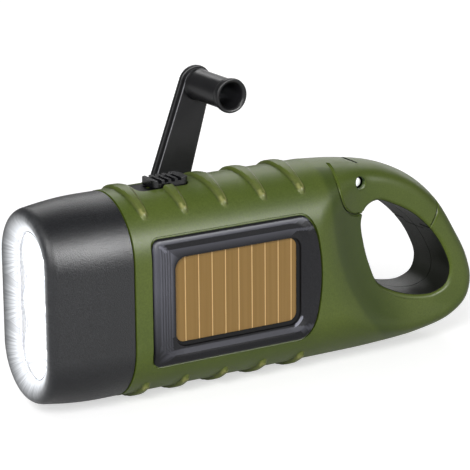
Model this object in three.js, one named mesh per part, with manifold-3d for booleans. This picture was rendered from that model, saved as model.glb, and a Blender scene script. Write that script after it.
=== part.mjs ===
// A hand cranked torch with a carabiner handle, in millimetres.
// X runs from the lens to the tail, Z is up and Y points to the crank's side.
// The origin is the centre of the lens face. Sizes along X below count from the front rim.
import * as THREE from "three";
import { mergeVertices } from "three/addons/utils/BufferGeometryUtils.js";
import Module from "manifold-3d";

const wasm = await Module();
wasm.setup();

// Clearances and shared values
const gap = 0.3; // between pieces that seat on each other
const fit = 0.15; // round a shaft, pin or screw
const overrun = 6; // how far a cut runs past the face it opens
const weld = 0.0001; // corners nearer than this are one corner
const filletReach = 3; // how far smooth limits round the edge between two surfaces

// Housing
const bodyLength = 141;
const bodyWidth = 34;
const bodyHeight = 56.4;
const wall = 2.2;
const headLength = 24; // front rim to the green shells
const loopThickness = 19.2; // across the carabiner loop
const tailLength = 54.1; // the curved part at the back, which carries the loop
const tailDrop = 12.5; // tail tip below the middle
const tipShare = 0.444; // where the list of tail points below has its tip
const cavitySpare = 2; // the hollow of the shells ends this far before the tail
const neckLength = 8; // spigot of the shells inside the head
const neckWall = 1.8;
const bowlStep = 54; // centre of the round scoop that thins the loop, from the tail's start
const bowlZ = 18.6;
const bowlRadius = 56; // where the scoop meets the flank
const bowlFloor = 38; // where it reaches the loop's thickness
const bowlPower = 1.6;

// Head
const rimRound = 2.4; // rounding of the front edge
const rimInset = 2; // flat of the rim, in from the outline
const headSideInset = 2.6; // front outline in from the housing's, at the sides
const headTopInset = 1.9; // and at the top and bottom
const headSeamInset = 0.4; // back outline below the green shells
const headSwell = 18; // length over which it widens
const headWall = 1.9;
const dishDepth = 1.9;
const rimWidth = 9; // from the outline to the window, at the sides
const rimHeight = 7.7; // and at the top and bottom
const lipDepth = 1.3; // thickness of the bezel at the window
const seatOverlap = 1.4; // of the lens flange behind the lip
const seatSideOverlap = 1.7;
const seatDepth = 3.7;
const shroudWall = 1.2;
const headRingShares = [0.75, 0.45]; // rings of the widening part
const rimTurnShares = [0, 0.34, 0.67, 1]; // rings of the rounded edge
const rimSideShare = 0.6; // how much less the edge's round is wide than long
const rimFlatShare = 0.3; // of the round, added to the flat rim's width

// Lens, reflector and LEDs
const lensSink = 0.1; // lens face below the edge of the dish
const lensFlange = 1.2;
const reflectorDepth = 9;
const cupRadius = 7.6;
const cupPitch = 12.75;
const cupThroat = 2.8;
const throatShare = 0.12; // of the reflector's depth, straight behind each cup
const cupRings = 3;
const ledRadius = 2.45;
const ledHeight = 6;
const ledFlange = 0.9;
const ledFlangeGrow = 0.25;
const ledBoardThickness = 1.2;

// Ribs
const ribCount = 5;
const ribStart = 29.5; // middle of the first rib
const ribPitch = 12.25;
const ribHeight = 0.9;
const ribWidth = 6.8;
const ribTipWidth = 2.5;
const ribReach = 13.2; // tips either side of the middle
const ribDepth = 14; // how far down the ribs' cutters reach

// Solar panel
const frameStart = 29.4;
const frameCorner = 75.3; // where its straight edges end
const frameEnd = 81.75;
const frameHalfHeight = 17.6;
const frameFrontRound = 2;
const frameBackRound = 8;
const frameProud = 0.5;
const frameFlange = 3;
const frameBevel = 2.4; // width of the slope inside the flange
const frameSink = 0.6; // inner flat below the flank
const frameBack = 1.1; // back of the frame below the flank
const cellStart = 36.4;
const cellEnd = 74.2;
const cellHalfHeight = 11.7;
const cellRound = 3;
const cellLap = 1.2; // cell edge hidden behind the frame
const cellThickness = 0.8;

// Switch
const switchStart = 37;
const switchEnd = 48.2;
const switchWidth = 7.2;
const switchTravel = 4.5;
const switchRise = 1.5; // top above the housing
const switchSink = 0.4; // its base below the housing's top
const switchRound = 1.6;
const ridgeCount = 4;
const ridgeWidth = 0.9;
const ridgeDrop = 0.8;
const trackDepth = 1.3;
const trackWidth = 8.4;
const trackRound = 2.2;
const plateThickness = 0.5;
const stemLength = 2.6;
const stemWidth = 2.2;
const switchBodyLength = 13;
const switchBodyWidth = 5;
const switchBodyHeight = 4.2;
const stemReach = 1.2; // into the switch body

// Carabiner loop
const holeStep = 13.2; // front of the hole, from the tail's start
const holeLength = 30.7;
const holeBottom = -14.1;
const holeHeight = 30;
const holeRound = 1.3; // rounding of the hole's edges
const linerThickness = 1.4;
const linerInset = 0.9; // liner edge in from the loop's flank
const pivotStep = 12.3; // the gate's pivot, from the tail's start
const pivotZ = 21.9;
const lugRadius = 4.9;
const lugWidth = 8;
const lugWebDrop = 2.6; // underside of the lug's web below the pivot
const heelRadius = 8.7; // the gate's heel is round about the pivot
const heelFrom = 125; // degrees between which the heel is drawn
const heelTo = 266;
const heelSteps = 14;
const gateNose = 29.5; // radius of the gate's end about the pivot
const noseFrom = -48; // degrees below level between which that end is drawn
const noseTo = -8;
const noseSteps = 8;
const noseFloor = -3.5; // the nose's interlock lies above this level
const tongueLength = 1.7; // interlock of the gate's liner in the nose
const tongueWidth = 8;
const eyeRadius = 1.7; // hole over the pin's end
const pinRadius = 2.3;
const eyeLip = 1.2; // gate skin over the pin's end
const springWire = 0.7;
const springTurns = 3;
const springRoom = 3.4; // space for the spring beside the lug
const curlSteps = 8;
const curlSides = 5;

// Crank
const hubX = 49.5;
const hubZ = 5.6;
const crankTilt = 18; // degrees from upright, towards the tail
const crankReach = 45.8; // hub to knob
const hubRadius = 10;
const hubRecess = 1.4; // depth of the recess in the flank
const hubProud = 0.4;
const hubBoss = 1.6; // extra wall inside, round the shaft
const shaftRadius = 3.5;
const shaftEndRadius = 2.4;
const armLift = 0.7; // inner face of the arm above the flank
const armThickness = 2.4;
const armBaseWidth = 13.7;
const armTipWidth = 10.2;
const armLip = 0.9; // plateau in from the arm's outline
const barrelRadius = 2;
const pinWire = 0.8;
const earWidth = 2.2;
const earLength = 5;
const earRound = 1.6;
const knobLength = 17.8;
const knobRadius = 4.25;
const knobRim = 4.8;
const knobRimLength = 2.6;
const knobBore = 3.4;
const knobFloor = 4;
const knobPost = 1.5;
const knobHead = 2.7;
const knobHeadHeight = 1.5;
const stowTilt = 14; // degrees below level of the arm when it lies along the flank
const pocketRadius = 6.1;

// Gears and generator
const diameterPerTooth = 1;
const crankTeeth = 30;
const idlerTeeth = 24;
const pinionTeeth = 10;
const centreSpare = 0.12; // added to each gear centre distance
const backlash = 0.3;
const addendumShare = 0.85;
const dedendumShare = 1.2;
const pressureAngle = 20;
const gearThickness = 3;
const idlerThickness = 2.6;
const pinionSpare = 0.3; // a pinion is this much wider each side than its wheel
const gearTop = 10.2; // outer face of the crank gear
const gearStep = 0.8; // air between the two gear layers
const idlerAngle = -35; // degrees, from the hub to the idler
const rotorAngle = 80; // and from the idler to the rotor
const idlerShaft = 1.5;
const rotorShaft = 1.2;
const gearPlateTop = 3;
const gearPlateThickness = 1.5;
const postRadius = 2.2;
const postRim = 2.6; // plate round each post
const magnetRadius = 7.4;
const magnetLength = 6;
const statorInner = 8;
const statorOuter = 12.2;
const statorLength = 5;
const statorYoke = 1.4;
const poleCount = 6;
const poleWidth = 2.4;
const coilWall = 1;

// Inside pieces
const batteryRadius = 7.8;
const batteryLength = 18.6;
const batteryStart = 28.9;
const batteryFloor = 0.4; // from the housing's inner floor
const batterySide = 2.4; // left of the middle
const boardStart = 35.9;
const boardLength = 40;
const boardHalfHeight = 17.5;
const boardThickness = 1.2;
const boardSide = 11.4; // right face of the board, left of the middle
const boardBossInset = 2.6;
const bossRadius = 2.2;

// Screws
const screwRadius = 1.2;
const screwHeadRadius = 2.4;
const screwHeadHeight = 1.6;
const screwLength = 12;
const screwSink = 1; // recess over each housing screw
const screwPost = 3.1;
const smallScrewRadius = 0.8;
const smallHeadRadius = 1.7;
const smallHeadHeight = 1.1;
const smallScrewLength = 3.4;
const slotLengthShare = 0.62; // arms of the cross recess, of the head's radius
const slotWidthShare = 0.16;

// Facets
const fine = 24;
const round = 16;
const coarse = 10;
const few = 6;

const halfWidth = bodyWidth / 2;
const halfHeight = bodyHeight / 2;
const halfLoop = loopThickness / 2;
const degrees = Math.PI / 180;
const straightLength = bodyLength - tailLength;
const cavityEnd = straightLength - cavitySpare;
const bowlX = straightLength + bowlStep;
const holeStart = straightLength + holeStep;
const pivotX = straightLength + pivotStep;
const windowWidth = bodyWidth - 2 * rimWidth;
const windowHeight = bodyHeight - 2 * rimHeight;
const pocketX = hubX + crankReach * Math.cos(stowTilt * degrees);
const pocketZ = hubZ - crankReach * Math.sin(stowTilt * degrees);

// Finishes
const finish = (color, roughness, metalness = 0) =>
  new THREE.MeshStandardMaterial({ color, roughness, metalness });
const green = finish(0x5c683a, 0.45);
const charcoal = finish(0x47484c, 0.5);
const black = finish(0x202022, 0.4);
const linerGrey = finish(0x2c2f28, 0.55);
const clear = finish(0xf2f6fa, 0.05);
const chrome = finish(0xe6e8ec, 0.1, 1);
const ledWhite = finish(0xffffff, 0.3);
const cellBrown = finish(0x8b724a, 0.35);
const steel = finish(0xb9bcc0, 0.3, 1);
const nylon = finish(0xdad7cc, 0.6);
const boardGreen = finish(0x1f5a38, 0.5);
const copper = finish(0xb4652e, 0.35, 1);
const sleeve = finish(0x2f5f9a, 0.5);

// Solids

// A closed geometry as a solid, with its faces pointing out.
function solid(geometry) {
  const bare = geometry.index ? geometry.toNonIndexed() : geometry.clone();
  bare.deleteAttribute("normal");
  bare.deleteAttribute("uv");
  const merged = mergeVertices(bare, weld);
  const index = [...merged.index.array];
  const corners = [];
  for (let i = 0; i < index.length; i += 3) {
    const [a, b, c] = index.slice(i, i + 3);
    if (a !== b && b !== c && c !== a) corners.push(a, b, c);
  }
  const build = (order) =>
    new wasm.Manifold(
      new wasm.Mesh({
        numProp: 3,
        vertProperties: new Float32Array(merged.attributes.position.array),
        triVerts: new Uint32Array(order),
      }),
    );
  const made = build(corners);
  return made.volume() < 0 ? build(corners.reverse()) : made;
}

const join = (...parts) => parts.reduce((all, part) => all.add(part));
const cut = (body, ...tools) => tools.reduce((rest, tool) => rest.subtract(tool), body);

// A shape drawn in X and Z, made solid from one Y to another.
function slab(shape, from, to, curveSegments = few) {
  const geometry = new THREE.ExtrudeGeometry(shape, {
    depth: to - from,
    bevelEnabled: false,
    curveSegments,
  });
  return solid(geometry.rotateX(Math.PI / 2).translate(0, to, 0));
}

// A shape drawn in X and Y, made solid from one Z to another.
function column(shape, from, to, curveSegments = coarse) {
  const geometry = new THREE.ExtrudeGeometry(shape, {
    depth: to - from,
    bevelEnabled: false,
    curveSegments,
  });
  return solid(geometry.translate(0, 0, from));
}

// A cylinder along Y round the point (x, z).
function disc(x, z, radius, from, to, sides = round) {
  const geometry = new THREE.CylinderGeometry(radius, radius, to - from, sides);
  return solid(geometry.translate(x, (from + to) / 2, z));
}

// A profile of [radius, y] points turned round the Y axis through (x, z).
function turned(x, z, profile, sides = round) {
  const points = profile.map(([radius, y]) => new THREE.Vector2(radius, y));
  return solid(new THREE.LatheGeometry(points, sides).translate(x, 0, z));
}

// A box between two corners.
function block(low, high) {
  const size = high.map((value, axis) => value - low[axis]);
  const middle = high.map((value, axis) => (value + low[axis]) / 2);
  return solid(new THREE.BoxGeometry(...size).translate(...middle));
}

// A rectangle with round corners, centred on (x, y).
function roundedRect(x, y, width, height, radius) {
  const shape = new THREE.Shape();
  const [a, b] = [width / 2 - radius, height / 2 - radius];
  shape.absarc(x + a, y + b, radius, 0, Math.PI / 2);
  shape.absarc(x - a, y + b, radius, Math.PI / 2, Math.PI);
  shape.absarc(x - a, y - b, radius, Math.PI, 1.5 * Math.PI);
  shape.absarc(x + a, y - b, radius, 1.5 * Math.PI, 2 * Math.PI);
  return shape;
}

// A closed shape through a list of [x, z] points.
function polygon(points) {
  return new THREE.Shape(points.map(([x, z]) => new THREE.Vector2(x, z)));
}

// A ring of the head: a stadium in Y and Z with half width a and half height b.
function stadiumRing(x, a, b) {
  const ring = [];
  for (const [middle, start] of [
    [b - a, 0],
    [a - b, Math.PI],
  ]) {
    for (let i = 0; i <= coarse; i += 1) {
      const turn = start + (Math.PI * i) / coarse;
      ring.push([x, a * Math.cos(turn), middle + a * Math.sin(turn)]);
    }
  }
  return ring;
}

// Rings of [x, y, z] points skinned in order; a closed tube when its ends are joined.
function loft(rings, endless = false) {
  const sides = rings[0].length;
  const vertices = rings.flat();
  const faces = [];
  const spans = endless ? rings.length : rings.length - 1;
  for (let i = 0; i < spans; i += 1) {
    const [near, far] = [i * sides, ((i + 1) % rings.length) * sides];
    for (let j = 0; j < sides; j += 1) {
      const k = (j + 1) % sides;
      faces.push(near + j, near + k, far + k, near + j, far + k, far + j);
    }
  }
  if (!endless) {
    for (const [ring, flip] of [[rings[0], false], [rings.at(-1), true]]) {
      const hub = vertices.push(middleOf(ring)) - 1;
      const first = flip ? (rings.length - 1) * sides : 0;
      for (let j = 0; j < sides; j += 1) {
        const pair = [first + j, first + ((j + 1) % sides)];
        faces.push(hub, ...(flip ? pair : pair.reverse()));
      }
    }
  }
  const geometry = new THREE.BufferGeometry();
  geometry.setAttribute("position", new THREE.Float32BufferAttribute(vertices.flat(), 3));
  return solid(geometry.setIndex(faces));
}

function middleOf(ring) {
  return [0, 1, 2].map((axis) => ring.reduce((sum, point) => sum + point[axis], 0) / ring.length);
}

// Housing form

// The tail's outline from the top edge round to the bottom one: X as a share of the
// curved length, Z as a share of the half height above the middle.
const tailShares = [
  [0, 1],
  [0.22, 0.96],
  [0.437, 0.875],
  [0.628, 0.702],
  [0.772, 0.458],
  [0.885, 0.131],
  [0.968, -0.169],
  [1, -tipShare],
  [0.962, -0.685],
  [0.845, -0.851],
  [0.637, -0.949],
  [0.34, -0.991],
  [0, -1],
];

function tailOutline() {
  const curved = bodyLength - straightLength;
  const points = tailShares.map(([x, z]) => {
    const bent = z + (tailDrop / halfHeight - tipShare) * (z - 1) * (z + 1);
    return new THREE.Vector3(straightLength + x * curved, bent * halfHeight, 0);
  });
  const curve = new THREE.CatmullRomCurve3(points, false, "centripetal");
  return curve.getPoints(5 * tailShares.length).map((point) => [point.x, point.y]);
}

const outline = tailOutline();
const tipIndex = outline.reduce((best, [x], i) => (x > outline[best][0] ? i : best), 0);
const tailTip = outline[tipIndex][0];
const topEdge = outline.slice(0, tipIndex + 1);
const bottomEdge = outline.slice(tipIndex).reverse();

// Height of an edge of the outline at one X.
function edgeAt(edge, x) {
  if (x <= edge[0][0]) return edge[0][1];
  const next = edge.findIndex(([place]) => place >= x);
  if (next < 0) return edge.at(-1)[1];
  const [[x0, z0], [x1, z1]] = [edge[next - 1], edge[next]];
  return z0 + ((z1 - z0) * (x - x0)) / (x1 - x0);
}

// Distance from a point of the side view to the outline, less than zero outside it.
function depthAt(x, z) {
  let nearest = Math.min(halfHeight - z, halfHeight + z);
  if (x > straightLength) nearest = Infinity;
  for (let i = 1; i < outline.length; i += 1) {
    const [[x0, z0], [x1, z1]] = [outline[i - 1], outline[i]];
    const [dx, dz] = [x1 - x0, z1 - z0];
    const share = ((x - x0) * dx + (z - z0) * dz) / (dx * dx + dz * dz);
    const along = THREE.MathUtils.clamp(share, 0, 1);
    nearest = Math.min(nearest, Math.hypot(x - x0 - along * dx, z - z0 - along * dz));
  }
  const inside = z <= edgeAt(topEdge, x) && z >= edgeAt(bottomEdge, x);
  return inside || x <= straightLength ? nearest : -nearest;
}

// The lower of two limits, with the edge between them rounded.
function softLimit(a, b) {
  const near = Math.max(filletReach - Math.abs(a - b), 0) / filletReach;
  return Math.min(a, b) - (near * near * filletReach) / 4;
}

// Half thickness that the scoop round the loop leaves.
function scoopAt(x, z) {
  const share = (Math.hypot(x - bowlX, z - bowlZ) - bowlFloor) / (bowlRadius - bowlFloor);
  return halfLoop + (halfWidth - halfLoop) * Math.max(share, 0) ** bowlPower;
}

// Half thickness of the housing, grown outwards by a skin.
function thicknessAt(x, z, grow) {
  const depth = depthAt(x, z) + grow;
  const radius = halfWidth + grow;
  const within = THREE.MathUtils.clamp(depth, 0, radius);
  const crown = Math.sqrt(within * (2 * radius - within));
  return Math.max(softLimit(crown, scoopAt(x, z) + grow), 0);
}

// One half ring of the housing at X: from the top edge down to the bottom one.
function halfRing(x, grow) {
  const steps = 12;
  const top = edgeAt(topEdge, x) + grow;
  const bottom = edgeAt(bottomEdge, x) - grow;
  const ring = [];
  for (let i = 0; i <= steps; i += 1) {
    const share = (1 - Math.cos((Math.PI * i) / steps)) / 2;
    const z = top + (bottom - top) * share;
    const ends = i === 0 || i === steps;
    ring.push([x, ends ? 0 : thicknessAt(x, z, grow), z]);
  }
  return ring;
}

// X of each ring, closer together towards the tail's tip.
function stations(from, to) {
  const steps = 16;
  const places = [];
  const plain = bowlX - bowlRadius - filletReach;
  for (let i = 0; i < steps; i += 1) {
    places.push(plain + (tailTip - plain) * Math.sin((Math.PI / 2) * (i / steps)));
  }
  return [from, ...places.filter((x) => x > from + gap && x < to - gap), to];
}

// The housing's form on one side (1 is the crank's side), with its flat face at Y = 0.
function halfForm(side, from, to, grow = 0) {
  const rings = stations(from, to).map((x) =>
    halfRing(x, grow).map(([px, y, z]) => [px, y * side, z]),
  );
  return loft(rings);
}

// Ribs over the top and bottom of the housing

function ribShape(x) {
  const [half, tip, reach] = [ribWidth / 2, ribTipWidth / 2, ribReach - ribTipWidth / 2];
  const shape = new THREE.Shape();
  shape.moveTo(x + tip, -reach);
  shape.bezierCurveTo(x + half, -reach / 2, x + half, -reach / 4, x + half, 0);
  shape.bezierCurveTo(x + half, reach / 4, x + half, reach / 2, x + tip, reach);
  shape.absarc(x, reach, tip, 0, Math.PI);
  shape.bezierCurveTo(x - half, reach / 2, x - half, reach / 4, x - half, 0);
  shape.bezierCurveTo(x - half, -reach / 4, x - half, -reach / 2, x - tip, -reach);
  shape.absarc(x, -reach, tip, Math.PI, 2 * Math.PI);
  return shape;
}

function ribs(side) {
  const last = ribStart + (ribCount - 1) * ribPitch;
  const skin = halfForm(side, ribStart - ribWidth, last + ribWidth, ribHeight);
  const cutters = [];
  for (let i = 0; i < ribCount; i += 1) {
    const shape = ribShape(ribStart + i * ribPitch);
    const top = halfHeight + ribHeight + overrun;
    cutters.push(column(shape, halfHeight - ribDepth, top, 2));
    cutters.push(column(shape, -top, ribDepth - halfHeight, 2));
  }
  return skin.intersect(join(...cutters));
}

// Outlines in the side view

// The loop's hole: shares of its length from the front and of its height from below.
const holeShares = [
  [0.007, 0.82],
  [0.055, 0.947],
  [0.17, 1],
  [0.368, 0.933],
  [0.596, 0.8],
  [0.8, 0.603],
  [0.932, 0.403],
  [1, 0.21],
  [0.96, 0.07],
  [0.824, 0.003],
  [0.645, 0.007],
  [0.4, 0.077],
  [0.19, 0.203],
  [0.1, 0.387],
  [0.036, 0.603],
];

function holeCurve(grow) {
  const points = holeShares.map(
    ([x, z]) => new THREE.Vector3(holeStart + x * holeLength, holeBottom + z * holeHeight, 0),
  );
  const curve = new THREE.CatmullRomCurve3(points, true, "centripetal");
  const steps = 2 * holeShares.length;
  return Array.from({ length: steps }, (unused, i) => {
    const place = curve.getPoint(i / steps);
    const along = curve.getTangent(i / steps);
    return [place.x - along.y * grow, place.y + along.x * grow];
  });
}

// The hole's tool, which flares at the loop's faces to round its edges.
function holeTool() {
  const levels = [];
  for (let i = 0; i <= 2; i += 1) {
    const turn = (Math.PI / 2) * (i / 2);
    levels.push([halfLoop - holeRound * (1 - Math.sin(turn)), holeRound * (1 - Math.cos(turn))]);
  }
  levels.push([halfWidth, holeRound]);
  const rings = [...levels.map(([y, grow]) => [-y, grow]).reverse(), ...levels];
  return loft(rings.map(([y, grow]) => holeCurve(grow).map(([x, z]) => [x, y, z])));
}

// Points on an arc about the gate's pivot, from one angle to another.
function pivotArc(radius, from, to, steps) {
  return Array.from({ length: steps + 1 }, (unused, i) => {
    const turn = (from + ((to - from) * i) / steps) * degrees;
    return [pivotX + radius * Math.cos(turn), pivotZ + radius * Math.sin(turn)];
  });
}

// Everything of the side view that belongs to the gate: right of its round heel, above the
// hole and short of the nose.
function gateOutline(inset) {
  const heel = pivotArc(heelRadius - inset, heelFrom, heelTo, heelSteps);
  const arc = pivotArc(gateNose - inset, noseFrom, noseTo, noseSteps);
  const rise = halfHeight + overrun;
  return [...heel, [pivotX + heelRadius, pivotZ - heelRadius], ...arc, [arc.at(-1)[0], rise]];
}

const gatePrism = (inset, from, to) => slab(polygon(gateOutline(inset)), from, to);

// Middle part that carries the pivot pin, between the two halves of the gate.
function lugPrism(grow) {
  const half = lugWidth / 2 + grow;
  const eye = disc(pivotX, pivotZ, lugRadius + grow, -half, half);
  const web = block(
    [pivotX - 2 * heelRadius, -half, pivotZ - lugWebDrop - grow],
    [pivotX, half, halfHeight + overrun],
  );
  return join(eye, web);
}

// Housing shells

function frameOutline(grow) {
  const shape = new THREE.Shape();
  const [left, right] = [frameStart - grow, frameEnd + grow];
  const half = frameHalfHeight + grow;
  const [front, back] = [frameFrontRound + grow, frameBackRound];
  const bulge = half - back;
  shape.absarc(left + front, half - front, front, Math.PI / 2, Math.PI);
  shape.absarc(left + front, front - half, front, Math.PI, 1.5 * Math.PI);
  shape.lineTo(frameCorner, -half);
  shape.quadraticCurveTo(right - back / 3, -half, right - back / 8, -bulge);
  shape.quadraticCurveTo(right + back / 8, 0, right - back / 8, bulge);
  shape.quadraticCurveTo(right - back / 3, half, frameCorner, half);
  return shape;
}

function cellOutline(grow) {
  const middle = (cellStart + cellEnd) / 2;
  const width = cellEnd - cellStart + 2 * grow;
  return roundedRect(middle, 0, width, 2 * (cellHalfHeight + grow), cellRound + grow);
}

// Housing screws: X as a share of the body's length, Z of its half height.
const screwShares = [
  [0.198, 0.72],
  [0.373, -0.75],
  [0.609, 0.66],
  [0.62, -0.74],
  [0.946, -0.64],
];
const screwPlaces = screwShares.map(([x, z]) => [x * bodyLength, z * halfHeight]);

// Small bosses that carry the main board.
const boardBosses = [
  [boardStart + boardBossInset, boardHalfHeight - boardBossInset + gap],
  [boardStart + boardLength - boardBossInset, boardHalfHeight - boardBossInset + gap],
  [boardStart + boardBossInset, boardBossInset - boardHalfHeight - gap],
  [boardStart + boardLength - boardBossInset, boardBossInset - boardHalfHeight - gap],
];

// Gear train, seen from the crank's side: each place follows from the one before.
function awayFrom([x, z], distance, angle) {
  return [x + distance * Math.cos(angle * degrees), z + distance * Math.sin(angle * degrees)];
}

const pitchRadius = (teeth) => (diameterPerTooth * teeth) / 2;
const stepOne = pitchRadius(crankTeeth) + pitchRadius(pinionTeeth) + centreSpare;
const stepTwo = pitchRadius(idlerTeeth) + pitchRadius(pinionTeeth) + centreSpare;
const hubPlace = [hubX, hubZ];
const idlerPlace = awayFrom(hubPlace, stepOne, idlerAngle);
const rotorPlace = awayFrom(idlerPlace, stepTwo, rotorAngle);

// Posts of the gear plate, as shares of the crank gear's radius from the hub.
const postShares = [
  [-0.95, 0.85],
  [-1.06, -0.64],
  [1.95, -1.45],
  [2.073, -0.347],
];
const postPlaces = postShares.map(([x, z]) => {
  const radius = pitchRadius(crankTeeth);
  return [hubX + x * radius, hubZ + z * radius];
});

const innerSide = halfWidth - wall;
const plateBottom = gearPlateTop - gearPlateThickness;
const shellStart = headLength - neckLength;

// Recess, track and slot of the switch, cut from the top.
function trackShape(grow) {
  const [from, to] = [switchStart - switchTravel - gap - grow, switchEnd + gap + grow];
  return roundedRect((from + to) / 2, 0, to - from, trackWidth + 2 * grow, trackRound);
}

function stemSlot(grow) {
  const middle = (switchStart + switchEnd) / 2;
  const [from, to] = [middle - switchTravel - stemLength / 2, middle + stemLength / 2];
  const half = stemWidth / 2 + gap + grow;
  return [
    [from - gap - grow, -half],
    [to + gap + grow, half],
  ];
}

function switchCut() {
  const floor = halfHeight - trackDepth;
  const [low, high] = stemSlot(0);
  return join(
    column(trackShape(0), floor, halfHeight + overrun, 4),
    block([...low, halfHeight - wall - overrun], [...high, halfHeight + overrun]),
  );
}

// Outline of the head at a distance behind the rim: half width and half height.
function headSize(x) {
  const share = Math.sin((Math.PI / 2) * Math.min(x / headSwell, 1));
  const side = headSideInset + (headSeamInset - headSideInset) * share;
  const top = headTopInset + (headSeamInset - headTopInset) * share;
  return [halfWidth - side, halfHeight - top];
}

// The spigot that the head slips over, on one side.
function neck(side) {
  const [a, b] = headSize(shellStart).map((size) => size - headWall - gap);
  const tube = loft(
    [
      stadiumRing(shellStart, a, b),
      stadiumRing(headLength + wall, a, b),
      stadiumRing(headLength + wall, a - neckWall, b - neckWall),
      stadiumRing(shellStart, a - neckWall, b - neckWall),
    ],
    true,
  );
  return tube.intersect(sideOf(side));
}

// Everything on one side of the middle plane.
function sideOf(side) {
  const [from, to] = side > 0 ? [0, bodyWidth] : [-bodyWidth, 0];
  return block([-bodyLength, from, -bodyHeight], [2 * bodyLength, to, bodyHeight]);
}

// A stop in the hollow's front end that joins the neck to the shell.
function frontWeb(side) {
  const [a, b] = headSize(shellStart).map((size) => size - headWall - gap - neckWall);
  const plate = halfForm(side, headLength, headLength + wall);
  return cut(plate, loft([
    stadiumRing(headLength - overrun, a, b),
    stadiumRing(headLength + wall + overrun, a, b),
  ]));
}

function hollow() {
  const [from, to] = [headLength + wall, cavityEnd];
  return join(halfForm(1, from, to, -wall), halfForm(-1, from, to, -wall));
}

function screwPosts(side) {
  const posts = screwPlaces.map(([x, z]) => disc(x, z, screwPost, 0, side * halfWidth, coarse));
  return join(...posts).intersect(halfForm(side, headLength, tailTip));
}

function screwHoles() {
  return join(
    ...screwPlaces.flatMap(([x, z]) => {
      const seat = screwSeat(x, z);
      return [
        disc(x, z, screwRadius + fit, seat - screwLength - gap, halfWidth, few),
        disc(x, z, screwHeadRadius + gap, seat, halfWidth + overrun, coarse),
      ];
    }),
  );
}

// Y of the seat under a housing screw's head.
function screwSeat(x, z) {
  return thicknessAt(x, z, 0) - screwSink - screwHeadHeight;
}

// A shell with what both sides share: neck, ribs, posts, hollow, gate, hole and track.
function plainShell(side) {
  const skin = join(halfForm(side, headLength, tailTip), ribs(side));
  const walls = cut(skin, hollow());
  const body = join(walls, frontWeb(side), neck(side), screwPosts(side));
  const gateSpace = cut(gatePrism(-gap / 2, -halfWidth, halfWidth), lugPrism(0));
  const open = cut(body, gateSpace, holeTool(), linerSpace());
  return cut(open, switchCut(), screwHoles(), pinHole(), pocket());
}

// The round pocket in which the knob lies when the arm is stowed along the flank.
function pocket() {
  const floor = halfWidth + armLift - knobLength - 2 * gap;
  return disc(pocketX, pocketZ, pocketRadius, floor, halfWidth + overrun, round);
}

const pinHole = () => disc(pivotX, pivotZ, pinRadius + fit, -halfWidth, halfWidth);

// Room for the liner round the hole, in the loop and the gate.
function linerSpace() {
  const half = halfLoop - linerInset + gap / 2;
  return slab(polygon(holeCurve(linerThickness + gap)), -half, half);
}

function leftShell() {
  const seat = -(halfWidth - frameBack - gap);
  const rebate = slab(frameOutline(gap), -halfWidth - overrun, seat);
  const window = slab(cellOutline(cellLap + gap), -halfWidth - overrun, 0);
  const open = cut(plainShell(-1), rebate, window.intersect(cellRoom()));
  const top = -(boardSide + boardThickness + gap);
  const bosses = boardBosses.map(([x, z]) => disc(x, z, bossRadius, -halfWidth, top, coarse));
  const seated = join(...bosses).intersect(halfForm(-1, headLength, cavityEnd, gap - wall));
  const tip = -boardSide - smallScrewLength;
  const holes = boardBosses.map(([x, z]) =>
    disc(x, z, smallScrewRadius + fit, tip, top + overrun, few),
  );
  return cut(join(open, seated), ...holes);
}

// The window goes through the flank only.
const cellRoom = () => block([0, -bodyWidth, -bodyHeight], [bodyLength, -boardSide, bodyHeight]);

function rightShell() {
  const recess = disc(hubX, hubZ, hubRadius + gap, halfWidth - hubRecess, halfWidth + overrun, fine);
  const bore = disc(hubX, hubZ, shaftRadius + fit, 0, halfWidth + overrun);
  const boss = disc(hubX, hubZ, hubRadius + wall, innerSide - hubBoss, halfWidth - hubRecess, fine);
  const bearings = [idlerPlace, rotorPlace].map(([x, z]) =>
    disc(x, z, bossRadius, gearTop + gearStep, halfWidth - wall / 2, coarse),
  );
  const posts = postPlaces.map(([x, z]) =>
    disc(x, z, postRadius, gearPlateTop + gap, halfWidth - wall / 2, coarse),
  );
  const inside = halfForm(1, headLength, cavityEnd, -wall / 2);
  const fittings = join(boss, ...bearings, ...posts).intersect(inside);
  const holes = [
    disc(...idlerPlace, idlerShaft + fit, gearTop, halfWidth - wall, coarse),
    disc(...rotorPlace, rotorShaft + fit, gearTop, halfWidth - wall, coarse),
    ...postPlaces.map(([x, z]) =>
      disc(x, z, smallScrewRadius + fit, 0, gearPlateTop + smallScrewLength, few),
    ),
  ];
  return cut(join(plainShell(1), fittings), recess, bore, ...holes);
}

// Head

const bezelSize = (x, inset) => headSize(x).map((value) => value - inset);

// The bezel's outside, from the seam to the flat rim.
function bezelOutside() {
  const places = [headLength - gap, ...headRingShares.map((share) => share * headSwell)];
  const rings = [...places, 2 * rimRound].map((x) => stadiumRing(x, ...bezelSize(x, 0)));
  for (const share of rimTurnShares) {
    const turn = (share * Math.PI) / 2;
    const x = rimRound * (1 - Math.sin(turn));
    const inset = rimRound * (1 - Math.cos(turn)) * rimSideShare;
    rings.push(stadiumRing(x, ...bezelSize(x, inset)));
  }
  rings.push(stadiumRing(0, ...bezelSize(0, rimInset + rimRound * rimFlatShare)));
  return rings;
}

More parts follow.
